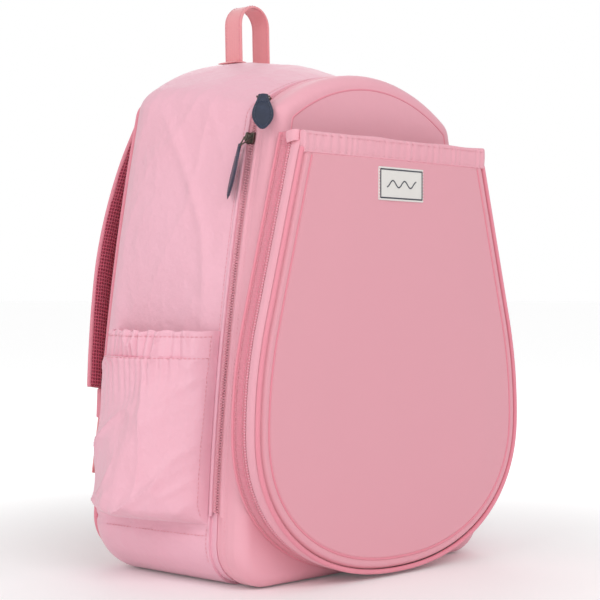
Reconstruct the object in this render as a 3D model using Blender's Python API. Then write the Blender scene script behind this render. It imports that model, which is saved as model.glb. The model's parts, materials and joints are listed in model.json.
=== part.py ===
"""Racket backpack: a stand-up sports backpack with a racket sleeve on its front flap.

Metres, +Z up. The front faces -Y. The origin is the middle of the flat base.
"""
import math

import bmesh
import bpy
from mathutils import Matrix, Vector

# Main compartment ------------------------------------------------------------
BODY_WIDTH = 0.315          # between the side arcs where they stand upright
BODY_DEPTH = 0.152          # tub, from the zip seam to the back wall
FRONT_HEIGHT = 0.424        # top of the zip arch
CROWN_RISE = 0.013          # how far the roof rises behind the zip arch, besides the swell
SWELL = 0.010               # how far sides and roof bulge out behind the zip arch
SIDE_ARC = 2.000            # radius of the bowed side
SIDE_ARC_HEIGHT = -0.050    # height of the side arcs' centres
ROOF_ARC = 0.182            # radius of the domed roof
SHOULDER_RADIUS = 0.018     # between side and roof
BASE_RADIUS = 0.035         # between side and base
BACK_ROUNDING = 0.018       # around the back wall
WALL = 0.004                # cloth, foam and lining together
FLAP_WALL = 0.0035
FLAP_DEPTH = 0.031          # tray of the front flap
FLAP_ROUNDING = 0.011       # inset of the flap's front face from its rim
SEAM_GAP = 0.001            # between tub and flap rims
TOUCH_GAP = 0.0004          # between pieces that touch on the real bag

# Zips --------------------------------------------------------------------------
TAPE_RECESS = 0.0022
TAPE_WIDTH = 0.0062
TAPE_THICKNESS = 0.0016
ZIP_END_HEIGHT = 0.060      # where the main zip stops on both sides
LOWER_SLIDER_DROP = 0.012   # the lower slider stands this far down from the side's top end
SLIDER_LENGTH = 0.010
SLIDER_WIDTH = 0.008
SLIDER_PLATE = 0.0020
BRIDGE_HEIGHT = 0.0047
BRIDGE_WALL = 0.0012
BRIDGE_WIDTH = 0.0022
LINK_WIRE = 0.0007          # radius
LINK_TOP = 0.009
LINK_FOOT = 0.0125
LINK_LENGTH = 0.0105
PULL_LENGTH = 0.044
PULL_WIDTH = 0.0175
PULL_NECK = 0.0082
PULL_THICKNESS = 0.0018
PULL_LOOP_CLEARANCE = 0.0004
SLEEVE_SLIDER_DROP = 0.010  # middle of the sleeve's slider below the mouth

# Racket sleeve -------------------------------------------------------------------
SLEEVE_WIDTH = 0.334
SLEEVE_MOUTH = 0.228
SLEEVE_TOP = 0.367
SLEEVE_WIDEST = 0.128       # height of its widest place
SLEEVE_FLOOR = 0.004
SLEEVE_ARC = 0.330          # flank above the widest place
SLEEVE_ROUNDNESS = 2.2      # exponent of the lower outline
SLEEVE_BACK = 0.003         # thickness of its back panel
SLEEVE_DEPTH = 0.026
TAPE_STRIP_DEPTH = 0.0125   # the part of the depth that stays on the flap
SLEEVE_CLOTH = 0.002
COVER_THICKNESS = 0.006
PIPING_RADIUS = 0.0018
BAND_HEIGHT = 0.018
LABEL_WIDTH = 0.058
LABEL_HEIGHT = 0.028
LABEL_THICKNESS = 0.0008
LABEL_DROP = 0.038          # label centre below the mouth

# Side pockets ----------------------------------------------------------------------
POCKET_FOOT = 0.052
POCKET_TOP = 0.207
POCKET_BULGE = 0.030
POCKET_CLOTH = 0.0025
POCKET_BAND = 0.022
POCKET_END_GAP = 0.006      # from the pocket's ends to the tub's edges

# Back, straps and handle --------------------------------------------------------------
PAD_THICKNESS = 0.012
PAD_INSET = 0.016
STRAP_WIDTH = 0.058
STRAP_THICKNESS = 0.011
WEBBING_WIDTH = 0.025
WEBBING_THICKNESS = 0.0016
LOCK_WIDTH = 0.034
LOCK_HEIGHT = 0.026
LOCK_THICKNESS = 0.005
SLOT_HALF = 0.0036
TAIL_LIFT = 0.006           # how far the loose tail stands off the webbing
HANDLE_SPAN = 0.035         # between the middles of the two legs
HANDLE_RISE = 0.053
HANDLE_WIDTH = 0.021
HANDLE_THICKNESS = 0.002
TAB_THICKNESS = 0.0022      # corner tabs and yoke

# Inside -------------------------------------------------------------------------------
BOARD_THICKNESS = 0.003
INNER_POCKET_WIDTH = 0.210
INNER_POCKET_HEIGHT = 0.230
INNER_POCKET_DEPTH = 0.018
INNER_POCKET_WALL = 0.002

FRONT = -BODY_DEPTH / 2     # zip seam plane
BACK = BODY_DEPTH / 2       # back wall's outer plane
FLAP_FACE = FRONT - FLAP_DEPTH
TAPE_STRIP_FACE = FLAP_FACE - SLEEVE_BACK - TAPE_STRIP_DEPTH
COVER_BACK = FLAP_FACE - SLEEVE_DEPTH
COVER_FACE = COVER_BACK - COVER_THICKNESS
PAD_BACK = BACK + TOUCH_GAP + PAD_THICKNESS


# ---- outlines -----------------------------------------------------------------------

def circle_meeting(centre_a, radius_a, centre_b, radius_b):
    """The right-hand, upper place where two circles in the XZ plane meet."""
    span = centre_b - centre_a
    reach = span.length
    along = (reach ** 2 + radius_a ** 2 - radius_b ** 2) / (2 * reach)
    across = math.sqrt(radius_a ** 2 - along ** 2)
    foot = centre_a + span * (along / reach)
    side = Vector((-span.y, span.x)) * (across / reach)
    return max((foot + side, foot - side), key=lambda p: p.x + p.y)


def arc_points(centre, radius, start, end, steps):
    """Points of an arc in the XZ plane, ends included. Angles from +X towards +Z."""
    points = []
    for i in range(steps + 1):
        angle = start + (end - start) * i / steps
        points.append(centre + radius * Vector((math.cos(angle), math.sin(angle))))
    return points


def angle_of(vector):
    return math.atan2(vector.y, vector.x)


def body_arcs(inset, top, floor):
    """Centres, radii and end angles of the right half of the body's outline."""
    side_centre = Vector((BODY_WIDTH / 2 - SIDE_ARC, SIDE_ARC_HEIGHT))
    roof_centre = Vector((0, top - ROOF_ARC))
    shoulder_centre = circle_meeting(roof_centre, ROOF_ARC - SHOULDER_RADIUS,
                                     side_centre, SIDE_ARC - SHOULDER_RADIUS)
    base_height = floor + BASE_RADIUS
    drop = base_height - SIDE_ARC_HEIGHT
    base_x = side_centre.x + math.sqrt((SIDE_ARC - BASE_RADIUS) ** 2 - drop ** 2)
    base_centre = Vector((base_x, base_height))
    base_end = angle_of(base_centre - side_centre)
    side_end = angle_of(shoulder_centre - side_centre)
    roof_end = angle_of(shoulder_centre - roof_centre)
    return [
        (base_centre, BASE_RADIUS - inset, -math.pi / 2, base_end, 5),
        (side_centre, SIDE_ARC - inset, base_end, side_end, 7),
        (shoulder_centre, SHOULDER_RADIUS - inset, side_end, roof_end, 4),
        (roof_centre, ROOF_ARC - inset, roof_end, math.pi / 2, 5),
    ]


def mirrored_loop(right_half):
    """A closed outline from its right half, which runs from the base to the top."""
    left = [Vector((-p.x, p.y)) for p in reversed(right_half)]
    if abs(right_half[-1].x) < 1e-6:
        left = left[1:]
    return right_half + left


def body_outline(inset=0.0, top=FRONT_HEIGHT, floor=0.0):
    """The body's outline in the XZ plane, moved inwards by inset."""
    half = []
    for arc in body_arcs(inset, top, floor):
        points = arc_points(*arc)
        half += points if not half else points[1:]
    return mirrored_loop(half)


def sleeve_half(steps_low=12, steps_side=4):
    """Right half of the sleeve's outline, from the bottom middle up to the mouth."""
    half_width = SLEEVE_WIDTH / 2
    drop = SLEEVE_WIDEST - SLEEVE_FLOOR
    power = 2 / SLEEVE_ROUNDNESS
    points = []
    for i in range(steps_low + 1):
        angle = math.pi / 2 * i / steps_low
        x = half_width * math.sin(angle) ** power
        z = SLEEVE_WIDEST - drop * math.cos(angle) ** power
        points.append(Vector((x, z)))
    centre = Vector((half_width - SLEEVE_ARC, SLEEVE_WIDEST))
    mouth = Vector((SLEEVE_MOUTH / 2, SLEEVE_TOP))
    reach = mouth - centre
    touch = angle_of(reach) - math.acos(SLEEVE_ARC / reach.length)
    points += arc_points(centre, SLEEVE_ARC, 0, touch, steps_side)[1:]
    for i in (1, 2, 3):
        points.append(points[-1].lerp(mouth, 1 / (4 - i)))
    return points


def sleeve_path():
    """The sleeve's U outline, from the left of the mouth round the bottom to the right."""
    half = sleeve_half()
    return [Vector((-p.x, p.y)) for p in reversed(half)] + half[1:]


def path_normals(path):
    """Outward normals of an open path that runs anticlockwise round its shape."""
    normals = []
    for i, point in enumerate(path):
        before = path[max(i - 1, 0)]
        after = path[min(i + 1, len(path) - 1)]
        along = (after - before).normalized()
        normals.append(Vector((along.y, -along.x)))
    return normals


def inset_path(path, distance):
    return [p - n * distance for p, n in zip(path, path_normals(path))]


# ---- mesh helpers ---------------------------------------------------------------------

def make_material(name, colour, roughness, metallic=0.0):
    material = bpy.data.materials.new(name)
    material.use_nodes = True
    shader = material.node_tree.nodes["Principled BSDF"]
    shader.inputs["Base Color"].default_value = (*colour, 1.0)
    shader.inputs["Roughness"].default_value = roughness
    shader.inputs["Metallic"].default_value = metallic
    return material


def place(name, mesh, material, smooth=30.0):
    mesh.materials.append(material)
    if smooth:
        mesh.shade_smooth()
        mesh.set_sharp_from_angle(angle=math.radians(smooth))
    thing = bpy.data.objects.new(name, mesh)
    bpy.context.collection.objects.link(thing)
    return thing


def loft(name, rings, material, capped=True, smooth=30.0):
    """A closed body through rings with equal point counts; a closed loop if uncapped."""
    bm = bmesh.new()
    rows = [[bm.verts.new(p) for p in ring] for ring in rings]
    count = len(rows[0])
    pairs = list(zip(rows, rows[1:]))
    if not capped:
        pairs.append((rows[-1], rows[0]))
    for low, high in pairs:
        for i in range(count):
            j = (i + 1) % count
            bm.faces.new((low[i], low[j], high[j], high[i]))
    if capped:
        bm.faces.new(reversed(rows[0]))
        bm.faces.new(rows[-1])
    bmesh.ops.recalc_face_normals(bm, faces=bm.faces)
    mesh = bpy.data.meshes.new(name)
    bm.to_mesh(mesh)
    bm.free()
    return place(name, mesh, material, smooth)


def ring_at(outline, y):
    return [Vector((p.x, y, p.y)) for p in outline]


def strip(name, path, near, far, y_near, y_far, material):
    """A strip along an open XZ path, between two insets and two Y planes."""
    rings = []
    for point, normal in zip(path, path_normals(path)):
        a = point - normal * near
        b = point - normal * far
        rings.append([Vector((a.x, y_near, a.y)), Vector((b.x, y_near, b.y)),
                      Vector((b.x, y_far, b.y)), Vector((a.x, y_far, a.y))])
    return loft(name, rings, material)


def frame_of(along, outward):
    """Columns: along, across, outward, made square."""
    along = along.normalized()
    outward = (outward - along * outward.dot(along)).normalized()
    across = outward.cross(along)
    return Matrix((along, across, outward)).transposed()


def prism(name, profile, half_width, frame, origin, material, smooth=0.0):
    """A profile in the frame's first and third axes, extruded along the second."""
    rings = []
    for side in (-half_width, half_width):
        rings.append([origin + frame @ Vector((u, side, n)) for u, n in profile])
    return loft(name, rings, material, smooth=smooth)


def box(name, low, high, material):
    corners = [(low[0], low[1]), (high[0], low[1]), (high[0], high[1]), (low[0], high[1])]
    rings = [[Vector((x, y, z)) for x, y in corners] for z in (low[2], high[2])]
    return loft(name, rings, material, smooth=0.0)


def tube(name, points, radius, material, sides=8, closed=False):
    """A round tube along points; a closed ring if closed."""
    rings = []
    count = len(points)
    reference = Vector((0, 0, 1))
    first = (points[1] - points[0]).normalized()
    if abs(first.dot(reference)) > 0.9:
        reference = Vector((0, 1, 0))
    for i, point in enumerate(points):
        before = points[(i - 1) % count] if closed else points[max(i - 1, 0)]
        after = points[(i + 1) % count] if closed else points[min(i + 1, count - 1)]
        along = (after - before).normalized()
        reference = (reference - along * reference.dot(along)).normalized()
        other = along.cross(reference)
        ring = []
        for k in range(sides):
            angle = 2 * math.pi * k / sides
            ring.append(point + radius * (math.cos(angle) * reference + math.sin(angle) * other))
        rings.append(ring)
    return loft(name, rings, material, capped=not closed, smooth=60.0)


def ribbon(name, points, wide, width, thickness, material, smooth=30.0):
    """A flat band along points; wide is its width direction, one for all or one each."""
    rings = []
    count = len(points)
    for i, point in enumerate(points):
        along = (points[min(i + 1, count - 1)] - points[max(i - 1, 0)]).normalized()
        sideways = wide[i] if isinstance(wide, list) else wide
        sideways = (sideways - along * sideways.dot(along)).normalized()
        face = along.cross(sideways)
        half_w = sideways * width / 2
        half_t = face * thickness / 2
        rings.append([point - half_w - half_t, point + half_w - half_t,
                      point + half_w + half_t, point - half_w + half_t])
    return loft(name, rings, material, smooth=smooth)


def combine(target, tool, operation):
    """Joins the tool to the target, or cuts it away, and removes the tool."""
    modifier = target.modifiers.new(operation.lower(), "BOOLEAN")
    modifier.operation = operation
    modifier.object = tool
    modifier.solver = "EXACT"
    graph = bpy.context.evaluated_depsgraph_get()
    mesh = bpy.data.meshes.new_from_object(target.evaluated_get(graph))
    target.modifiers.clear()
    target.data = mesh
    bpy.data.objects.remove(tool)
    return target


# ---- main compartment ---------------------------------------------------------------------

TUB_LIP = TAPE_WIDTH + TOUCH_GAP        # depth of the recess under the zip tape


def fullness(y):
    """0 along the zip arch, rising to 1 towards the back of the tub."""
    share = max(0.0, y - FRONT - TUB_LIP) / (BODY_DEPTH - TUB_LIP)
    return math.sin(math.pi / 2 * min(1.0, share * 1.45))


def tub_outline(inset, y):
    """The tub's outline at depth y: wider and higher behind the zip arch, flat below."""
    swell = SWELL * fullness(y)
    top = FRONT_HEIGHT + CROWN_RISE * fullness(y)
    return body_outline(inset - swell, top, swell)


def make_tub(cloth):
    recess_end = FRONT + TUB_LIP
    middle = (FRONT + BACK) / 2
    outer = [(BACK, BACK_ROUNDING), (BACK - 0.003, BACK_ROUNDING * 0.4),
             (BACK - BACK_ROUNDING * 0.8, 0.0015), (BACK - BACK_ROUNDING * 1.6, 0.0),
             (middle, 0.0), (recess_end, 0.0), (recess_end, TAPE_RECESS), (FRONT, TAPE_RECESS)]
    rim = TAPE_RECESS + WALL
    inner = [(FRONT, rim), (recess_end + WALL, rim), (recess_end + 2 * WALL, WALL),
             (middle, WALL), (BACK - BACK_ROUNDING * 1.6, WALL),
             (BACK - WALL, BACK_ROUNDING + WALL / 2)]
    rings = [ring_at(tub_outline(inset, y), y) for y, inset in outer + inner]
    return loft("main_tub", rings, cloth)


def make_flap(cloth):
    rim = FRONT - SEAM_GAP
    recess_end = rim - TAPE_WIDTH - TOUCH_GAP
    outer = [(FLAP_FACE, FLAP_ROUNDING + 0.004), (FLAP_FACE + 0.0008, FLAP_ROUNDING),
             (FLAP_FACE + 0.004, FLAP_ROUNDING * 0.45), (FLAP_FACE + 0.009, FLAP_ROUNDING * 0.12),
             (recess_end, 0.0), (recess_end, TAPE_RECESS), (rim, TAPE_RECESS)]
    lip = TAPE_RECESS + FLAP_WALL
    inner = [(rim, lip), (recess_end, lip), (FLAP_FACE + 0.009, lip),
             (FLAP_FACE + FLAP_WALL, FLAP_ROUNDING + 0.005)]
    rings = []
    for y, inset in outer + inner:
        rings.append(ring_at(body_outline(inset, FRONT_HEIGHT, SEAM_GAP), y))
    return loft("front_flap", rings, cloth)


def zip_path():
    """The main zip's line: up the left side, over the roof and down the right side."""
    outline = body_outline()
    path = [p for p in outline if p.y >= ZIP_END_HEIGHT - 1e-6]
    start = path.index(min(path, key=lambda p: (p.x < 0, p.y)))
    return path[start:] + path[:start]


def make_zip_tapes(tape):
    path = zip_path()
    near = TAPE_RECESS - TOUCH_GAP - TAPE_THICKNESS
    far = TAPE_RECESS - TOUCH_GAP
    strip("main_zip_tape_rear", path, near, far, FRONT + TOUCH_GAP / 2, FRONT + TAPE_WIDTH, tape)
    rim = FRONT - SEAM_GAP
    strip("main_zip_tape_front", path, near, far, rim - TOUCH_GAP / 2, rim - TAPE_WIDTH, tape)


def make_insides(lining, board):
    board_foot = WALL + 2 * TOUCH_GAP
    low = Vector((-BODY_WIDTH / 2 + BASE_RADIUS, FRONT + TUB_LIP + 2 * WALL + TOUCH_GAP, board_foot))
    high = Vector((BODY_WIDTH / 2 - BASE_RADIUS, BACK - BACK_ROUNDING * 1.6,
                   board_foot + BOARD_THICKNESS))
    box("base_board", low, high, board)
    back = BACK - WALL - TOUCH_GAP
    half = INNER_POCKET_WIDTH / 2
    foot = 0.030
    pouch = box("inner_slip_pocket", (-half, back - INNER_POCKET_DEPTH, foot),
                (half, back, foot + INNER_POCKET_HEIGHT), lining)
    wall = INNER_POCKET_WALL
    hollow = box("pouch_hollow", (-half + wall, back - INNER_POCKET_DEPTH + wall, foot + wall),
                 (half - wall, back - wall, foot + INNER_POCKET_HEIGHT + 0.01), lining)
    combine(pouch, hollow, "DIFFERENCE")


# ---- racket sleeve ---------------------------------------------------------------------------

def make_sleeve(cloth, tape, piping, mark):
    path = sleeve_path()
    back = [ring_at(path, FLAP_FACE - TOUCH_GAP), ring_at(path, FLAP_FACE - SLEEVE_BACK)]
    loft("sleeve_back_panel", back, cloth)
    strip("sleeve_zip_tape", path, 0.0, SLEEVE_CLOTH, FLAP_FACE - SLEEVE_BACK - TOUCH_GAP,
          TAPE_STRIP_FACE, tape)
    strip("cover_side_band", path, 0.0, SLEEVE_CLOTH, TAPE_STRIP_FACE - SEAM_GAP,
          COVER_BACK + TOUCH_GAP, cloth)
    make_cover(cloth)
    edge = inset_path(path, PIPING_RADIUS * 0.5)
    piping_y = COVER_BACK - TOUCH_GAP / 2 - PIPING_RADIUS
    line = [Vector((p.x, piping_y, p.y)) for p in edge if p.y < SLEEVE_TOP - BAND_HEIGHT - 0.002]
    tube("cover_piping", line, PIPING_RADIUS, piping, sides=6)
    half = SLEEVE_MOUTH / 2 + 0.002
    box("cover_top_band", (-half, COVER_FACE + 0.001, SLEEVE_TOP - BAND_HEIGHT),
        (half, COVER_BACK - TOUCH_GAP, SLEEVE_TOP), cloth)
    centre = SLEEVE_TOP - LABEL_DROP
    face = COVER_FACE - TOUCH_GAP
    box("label_patch", (-LABEL_WIDTH / 2, face - LABEL_THICKNESS, centre - LABEL_HEIGHT / 2),
        (LABEL_WIDTH / 2, face, centre + LABEL_HEIGHT / 2), mark)


def make_cover(cloth):
    """The padded racket cover, a thin panel whose lower part is gently crowned."""
    top = SLEEVE_TOP - BAND_HEIGHT - TOUCH_GAP
    inset = PIPING_RADIUS * 1.5 + TOUCH_GAP
    outline = [p for p in inset_path(sleeve_path(), inset) if p.y < top - 0.004]
    for corner in (outline[-1], outline[0]):
        side = math.copysign(1, corner.x)
        slope = (SLEEVE_WIDTH - SLEEVE_MOUTH) / 2 / (SLEEVE_TOP - SLEEVE_WIDEST)
        x = corner.x - side * slope * (top - corner.y)
        if corner is outline[-1]:
            last = Vector((x, top))
        else:
            first = Vector((x, top))
    outline = [first] + outline + [last]
    middle = Vector((0, (top + SLEEVE_FLOOR) / 2))
    rings = [ring_at(outline, COVER_BACK - TOUCH_GAP)]
    for share, depth in ((1.0, 0.6), (0.985, 0.9), (0.9, 1.0)):
        shrunk = [middle + (p - middle) * share for p in outline]
        rings.append(ring_at(shrunk, COVER_BACK - COVER_THICKNESS * depth))
    loft("racket_cover", rings, cloth)


# ---- side pockets -------------------------------------------------------------------------------

def side_half_width(z, y):
    """Half the tub's width at height z and depth y, on the bowed side."""
    arc = SIDE_ARC + SWELL * fullness(y)
    return BODY_WIDTH / 2 - SIDE_ARC + math.sqrt(arc ** 2 - (z - SIDE_ARC_HEIGHT) ** 2)


def pocket_row(side, z, bulge, shrink, steps=12):
    """One level of the pocket's wall, bowed out from the tub's side."""
    y_front = FRONT + TUB_LIP + POCKET_END_GAP + shrink
    y_back = BACK - BACK_ROUNDING * 1.6 - shrink
    row = []
    for i in range(steps + 1):
        share = i / steps
        y = y_front + (y_back - y_front) * share
        rise = math.sin(math.pi * share) ** 0.55 * bulge if 0 < share < 1 else 0.0
        x = side_half_width(z, y) + TOUCH_GAP + rise
        row.append(Vector((side * x, y, z)))
    return row


def seam_row(side, row):
    """The points of a pocket row moved in to the tub's side."""
    return [Vector((side * (side_half_width(p.z, p.y) + TOUCH_GAP), p.y, p.z)) for p in row]


def pocket_wall(name, side, levels, floor_thickness, material):
    """A cloth wall that opens towards the tub; a floor closes its foot if it has one."""
    bm = bmesh.new()
    outer = []
    inner = []
    for i, (z, bulge) in enumerate(levels):
        lift = floor_thickness if i == 0 else 0.0
        outer.append([bm.verts.new(p) for p in pocket_row(side, z, bulge, 0.0)])
        row = pocket_row(side, z + lift, bulge - POCKET_CLOTH, POCKET_CLOTH)
        inner.append([bm.verts.new(p) for p in row])
    count = len(outer[0])
    for grid in (outer, inner):
        for low, high in zip(grid, grid[1:]):
            for i in range(count - 1):
                bm.faces.new((low[i], low[i + 1], high[i + 1], high[i]))
    for i in range(count - 1):
        bm.faces.new((outer[-1][i], outer[-1][i + 1], inner[-1][i + 1], inner[-1][i]))
    for end in (0, count - 1):
        for k in range(len(levels) - 1):
            bm.faces.new((outer[k][end], outer[k + 1][end], inner[k + 1][end], inner[k][end]))
    if floor_thickness:
        seams = []
        for row in (outer[0], inner[0]):
            middle = seam_row(side, [v.co for v in row[1:-1]])
            seams.append([row[0]] + [bm.verts.new(p) for p in middle] + [row[-1]])
            for i in range(count - 1):
                corners = (row[i], row[i + 1], seams[-1][i + 1], seams[-1][i])
                bm.faces.new([v for k, v in enumerate(corners) if v not in corners[:k]])
        low, high = seams
        for i in range(count - 1):
            bm.faces.new((low[i], low[i + 1], high[i + 1], high[i]))
    else:
        for i in range(count - 1):
            bm.faces.new((outer[0][i], outer[0][i + 1], inner[0][i + 1], inner[0][i]))
    bmesh.ops.recalc_face_normals(bm, faces=bm.faces)
    mesh = bpy.data.meshes.new(name)
    bm.to_mesh(mesh)
    bm.free()
    return place(name, mesh, material)


def make_pocket(side, word, cloth):
    body_top = POCKET_TOP - POCKET_BAND
    levels = []
    for share, bulge in ((0.0, 0.35), (0.10, 0.75), (0.25, 1.0), (0.6, 1.0), (1.0, 0.9)):
        levels.append((POCKET_FOOT + (body_top - POCKET_FOOT) * share, POCKET_BULGE * bulge))
    pocket_wall(f"side_pocket_{word}", side, levels, POCKET_CLOTH, cloth)
    band = [(body_top + TOUCH_GAP, POCKET_BULGE * 0.9), (POCKET_TOP, POCKET_BULGE * 0.86)]
    pocket_wall(f"pocket_band_{word}", side, band, 0.0, cloth)


# ---- back panel, straps and handle -----------------------------------------------------------------

def make_back_pad(mesh_cloth):
    start = BACK + TOUCH_GAP
    rings = []
    steps = [(start, 0.0), (start + PAD_THICKNESS * 0.6, 0.0),
             (start + PAD_THICKNESS * 0.9, 0.003), (PAD_BACK, 0.010)]
    for y, shrink in steps:
        rings.append(ring_at(tub_outline(PAD_INSET + shrink, BACK), y))
    loft("back_pad", rings, mesh_cloth)


STRAP_ANCHOR_X = 0.050
STRAP_ANCHOR_Z = 0.402
WEBBING_ANCHOR_X = 0.118
WEBBING_ANCHOR_Z = 0.042
# Middle line of the left strap: distance from the bag's middle, distance behind the back
# pad, and height, from the yoke down to the end of the padding.
STRAP_LINE = ((0.050, 0.0115, 0.402), (0.056, 0.0170, 0.380), (0.065, 0.0260, 0.348),
              (0.074, 0.0330, 0.310), (0.082, 0.0370, 0.268), (0.088, 0.0370, 0.226),
              (0.094, 0.0340, 0.184), (0.099, 0.0300, 0.150))


def smooth_line(knots, steps):
    """Catmull-Rom points through the knots."""
    ends = [knots[0] * 2 - knots[1]] + list(knots) + [knots[-1] * 2 - knots[-2]]
    points = []
    for a, b, c, d in zip(ends, ends[1:], ends[2:], ends[3:]):
        for i in range(steps):
            t = i / steps
            points.append(0.5 * (2 * b + (c - a) * t + (2 * a - 5 * b + 4 * c - d) * t ** 2
                                 + (3 * b - a - 3 * c + d) * t ** 3))
    points.append(knots[-1].copy())
    return points


def strap_knots(side):
    return [Vector((side * x, PAD_BACK + y, z)) for x, y, z in STRAP_LINE]


def make_strap(side, word, pad_cloth, webbing, plastic):
    line = smooth_line(strap_knots(side), 3)
    wide = []
    for i in range(len(line)):
        step = line[min(i + 1, len(line) - 1)] - line[max(i - 1, 0)]
        wide.append(Vector((-step.z, 0, step.x)))
    ribbon(f"shoulder_strap_{word}", line, wide, STRAP_WIDTH, STRAP_THICKNESS, pad_cloth,
           smooth=40.0)
    end = line[-1]
    down = (line[-1] - line[-3]).normalized()
    frame = frame_of(down, Vector((0, 1, 0)))
    make_ladder_lock(f"ladder_lock_{word}", end + down * (TOUCH_GAP + LOCK_HEIGHT / 2), frame, plastic)
    make_webbing(side, word, end, down, webbing)


def make_ladder_lock(name, centre, frame, plastic):
    """A ladder lock: a frame with two slots for the webbing."""
    half_h = LOCK_HEIGHT / 2
    half_t = LOCK_THICKNESS / 2
    plate = prism(name, [(-half_h, -half_t), (half_h, -half_t), (half_h, half_t), (-half_h, half_t)],
                  LOCK_WIDTH / 2, frame, centre, plastic)
    for middle in (-0.0055, 0.0055):
        cut = prism("slot", [(middle - SLOT_HALF, -0.01), (middle + SLOT_HALF, -0.01),
                             (middle + SLOT_HALF, 0.01), (middle - SLOT_HALF, 0.01)],
                    WEBBING_WIDTH / 2 + 0.0012, frame, centre, plastic)
        combine(plate, cut, "DIFFERENCE")


def make_webbing(side, word, end, down, webbing):
    """Lower webbing: up from the corner tab, in through one slot and out again as a tail."""
    centre = end + down * (TOUCH_GAP + LOCK_HEIGHT / 2)
    out = Vector((0, 1, 0))
    out = (out - down * out.dot(down)).normalized()
    clear = LOCK_THICKNESS / 2 + 1.4 * WEBBING_THICKNESS
    foot = Vector((side * WEBBING_ANCHOR_X, PAD_BACK + 0.0045, WEBBING_ANCHOR_Z))
    turns = ((0.014, -clear), (0.009, -clear), (0.0054, -clear * 0.5), (0.0044, 0),
             (0.0054, clear * 0.5), (0.009, clear), (0.014, clear), (0.062, clear + TAIL_LIFT))
    knots = [centre + down * u + out * n for u, n in turns]
    middle = foot.lerp(knots[0], 0.5)
    wide = out.cross(down)
    ribbon(f"lower_webbing_{word}", smooth_line([foot, middle] + knots, 3), wide,
           WEBBING_WIDTH, WEBBING_THICKNESS, webbing)


def make_anchors(cloth):
    """Yoke patch where both straps are sewn on, and the tabs at the bottom corners."""
    half = STRAP_ANCHOR_X + STRAP_WIDTH / 2 - 0.004
    box("strap_yoke", (-half, PAD_BACK + TOUCH_GAP, STRAP_ANCHOR_Z - 0.014),
        (half, PAD_BACK + TOUCH_GAP + TAB_THICKNESS, STRAP_ANCHOR_Z + 0.014), cloth)
    for side, word in ((-1, "left"), (1, "right")):
        x = WEBBING_ANCHOR_X
        y0 = PAD_BACK + TOUCH_GAP
        rings = []
        for y in (y0, y0 + TAB_THICKNESS):
            rings.append([Vector((side * (x + 0.010), y, 0.028)), Vector((side * (x + 0.010), y, 0.052)),
                          Vector((side * (x - 0.006), y, 0.060)), Vector((side * (x - 0.006), y, 0.020))])
        loft(f"corner_tab_{word}", rings, cloth, smooth=0.0)


def handle_line():
    half = HANDLE_SPAN / 2
    straight = HANDLE_RISE - half
    points = [Vector((-half, 0.0)), Vector((-half, straight * 0.5))]
    points += arc_points(Vector((0, straight)), half, math.pi, 0, 8)
    points += [Vector((half, straight * 0.5)), Vector((half, 0.0))]
    return points


HANDLE_Y = BACK - 0.031


def make_handle(webbing):
    base = max(p.y for p in tub_outline(0.0, HANDLE_Y)) + TOUCH_GAP
    line = [Vector((p.x, HANDLE_Y, base + p.y)) for p in handle_line()]
    ribbon("grab_handle", line, Vector((0, 1, 0)), HANDLE_WIDTH, HANDLE_THICKNESS, webbing)


# ---- zip sliders ------------------------------------------------------------------------------------

def make_slider(name, seat, along, outward, hinge, metal):
    """A slider whose plate covers the teeth; returns the middle of its bridge's eye."""
    frame = frame_of(along, outward)
    turned = frame_of(hinge.cross(outward), outward)
    half = SLIDER_LENGTH / 2
    foot = TOUCH_GAP
    top = foot + SLIDER_PLATE
    plate = prism(name, [(-half, foot), (half, foot), (half * 0.85, top), (-half * 0.85, top)],
                  SLIDER_WIDTH / 2, frame, seat, metal)
    reach = half * 0.75
    crest = top + BRIDGE_HEIGHT
    inside = reach - BRIDGE_WALL
    ceiling = crest - BRIDGE_WALL
    sunk = top - SLIDER_PLATE / 2
    profile = [(-reach, sunk), (-inside, sunk), (-inside, ceiling), (inside, ceiling),
               (inside, sunk), (reach, sunk), (reach, crest - 0.0008), (reach - 0.001, crest),
               (-reach + 0.001, crest), (-reach, crest - 0.0008)]
    bridge = prism("bridge", profile, BRIDGE_WIDTH / 2, turned, seat, metal)
    combine(plate, bridge, "UNION")
    return seat + frame @ Vector((0, 0, (top + ceiling) / 2))


def make_link(name, eye, bar, hinge, hang, metal):
    """A wire loop through the slider's bridge, wider at its foot."""
    wide = LINK_FOOT / 2
    corners = [(-LINK_TOP / 2, 0), (0, 0), (LINK_TOP / 2, 0), (wide - 0.001, LINK_LENGTH - 0.0015),
               (wide - 0.001, LINK_LENGTH - 0.0006), (wide - 0.002, LINK_LENGTH), (0, LINK_LENGTH),
               (-wide + 0.002, LINK_LENGTH), (-wide + 0.001, LINK_LENGTH - 0.0006),
               (-wide + 0.001, LINK_LENGTH - 0.0015)]
    points = [eye + (hinge if b else bar) * a + hang * b for a, b in corners]
    tube(name, points, LINK_WIRE, metal, sides=6, closed=True)


def leaf_outline():
    """Half widths of the leaf at shares of its length: a neck, a belly and a point."""
    neck = PULL_NECK / 2
    belly = PULL_WIDTH / 2
    outline = []
    for share in (0.0, 0.08, 0.2, 0.32, 0.45, 0.58, 0.7, 0.8, 0.9, 0.97):
        if share < 0.58:
            grow = math.sin(math.pi / 2 * share / 0.58) ** 1.6
            outline.append((share, neck + (belly - neck) * grow))
        else:
            outline.append((share, belly * math.cos(math.pi / 2 * (share - 0.58) / 0.45) ** 0.75))
    return outline


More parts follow.
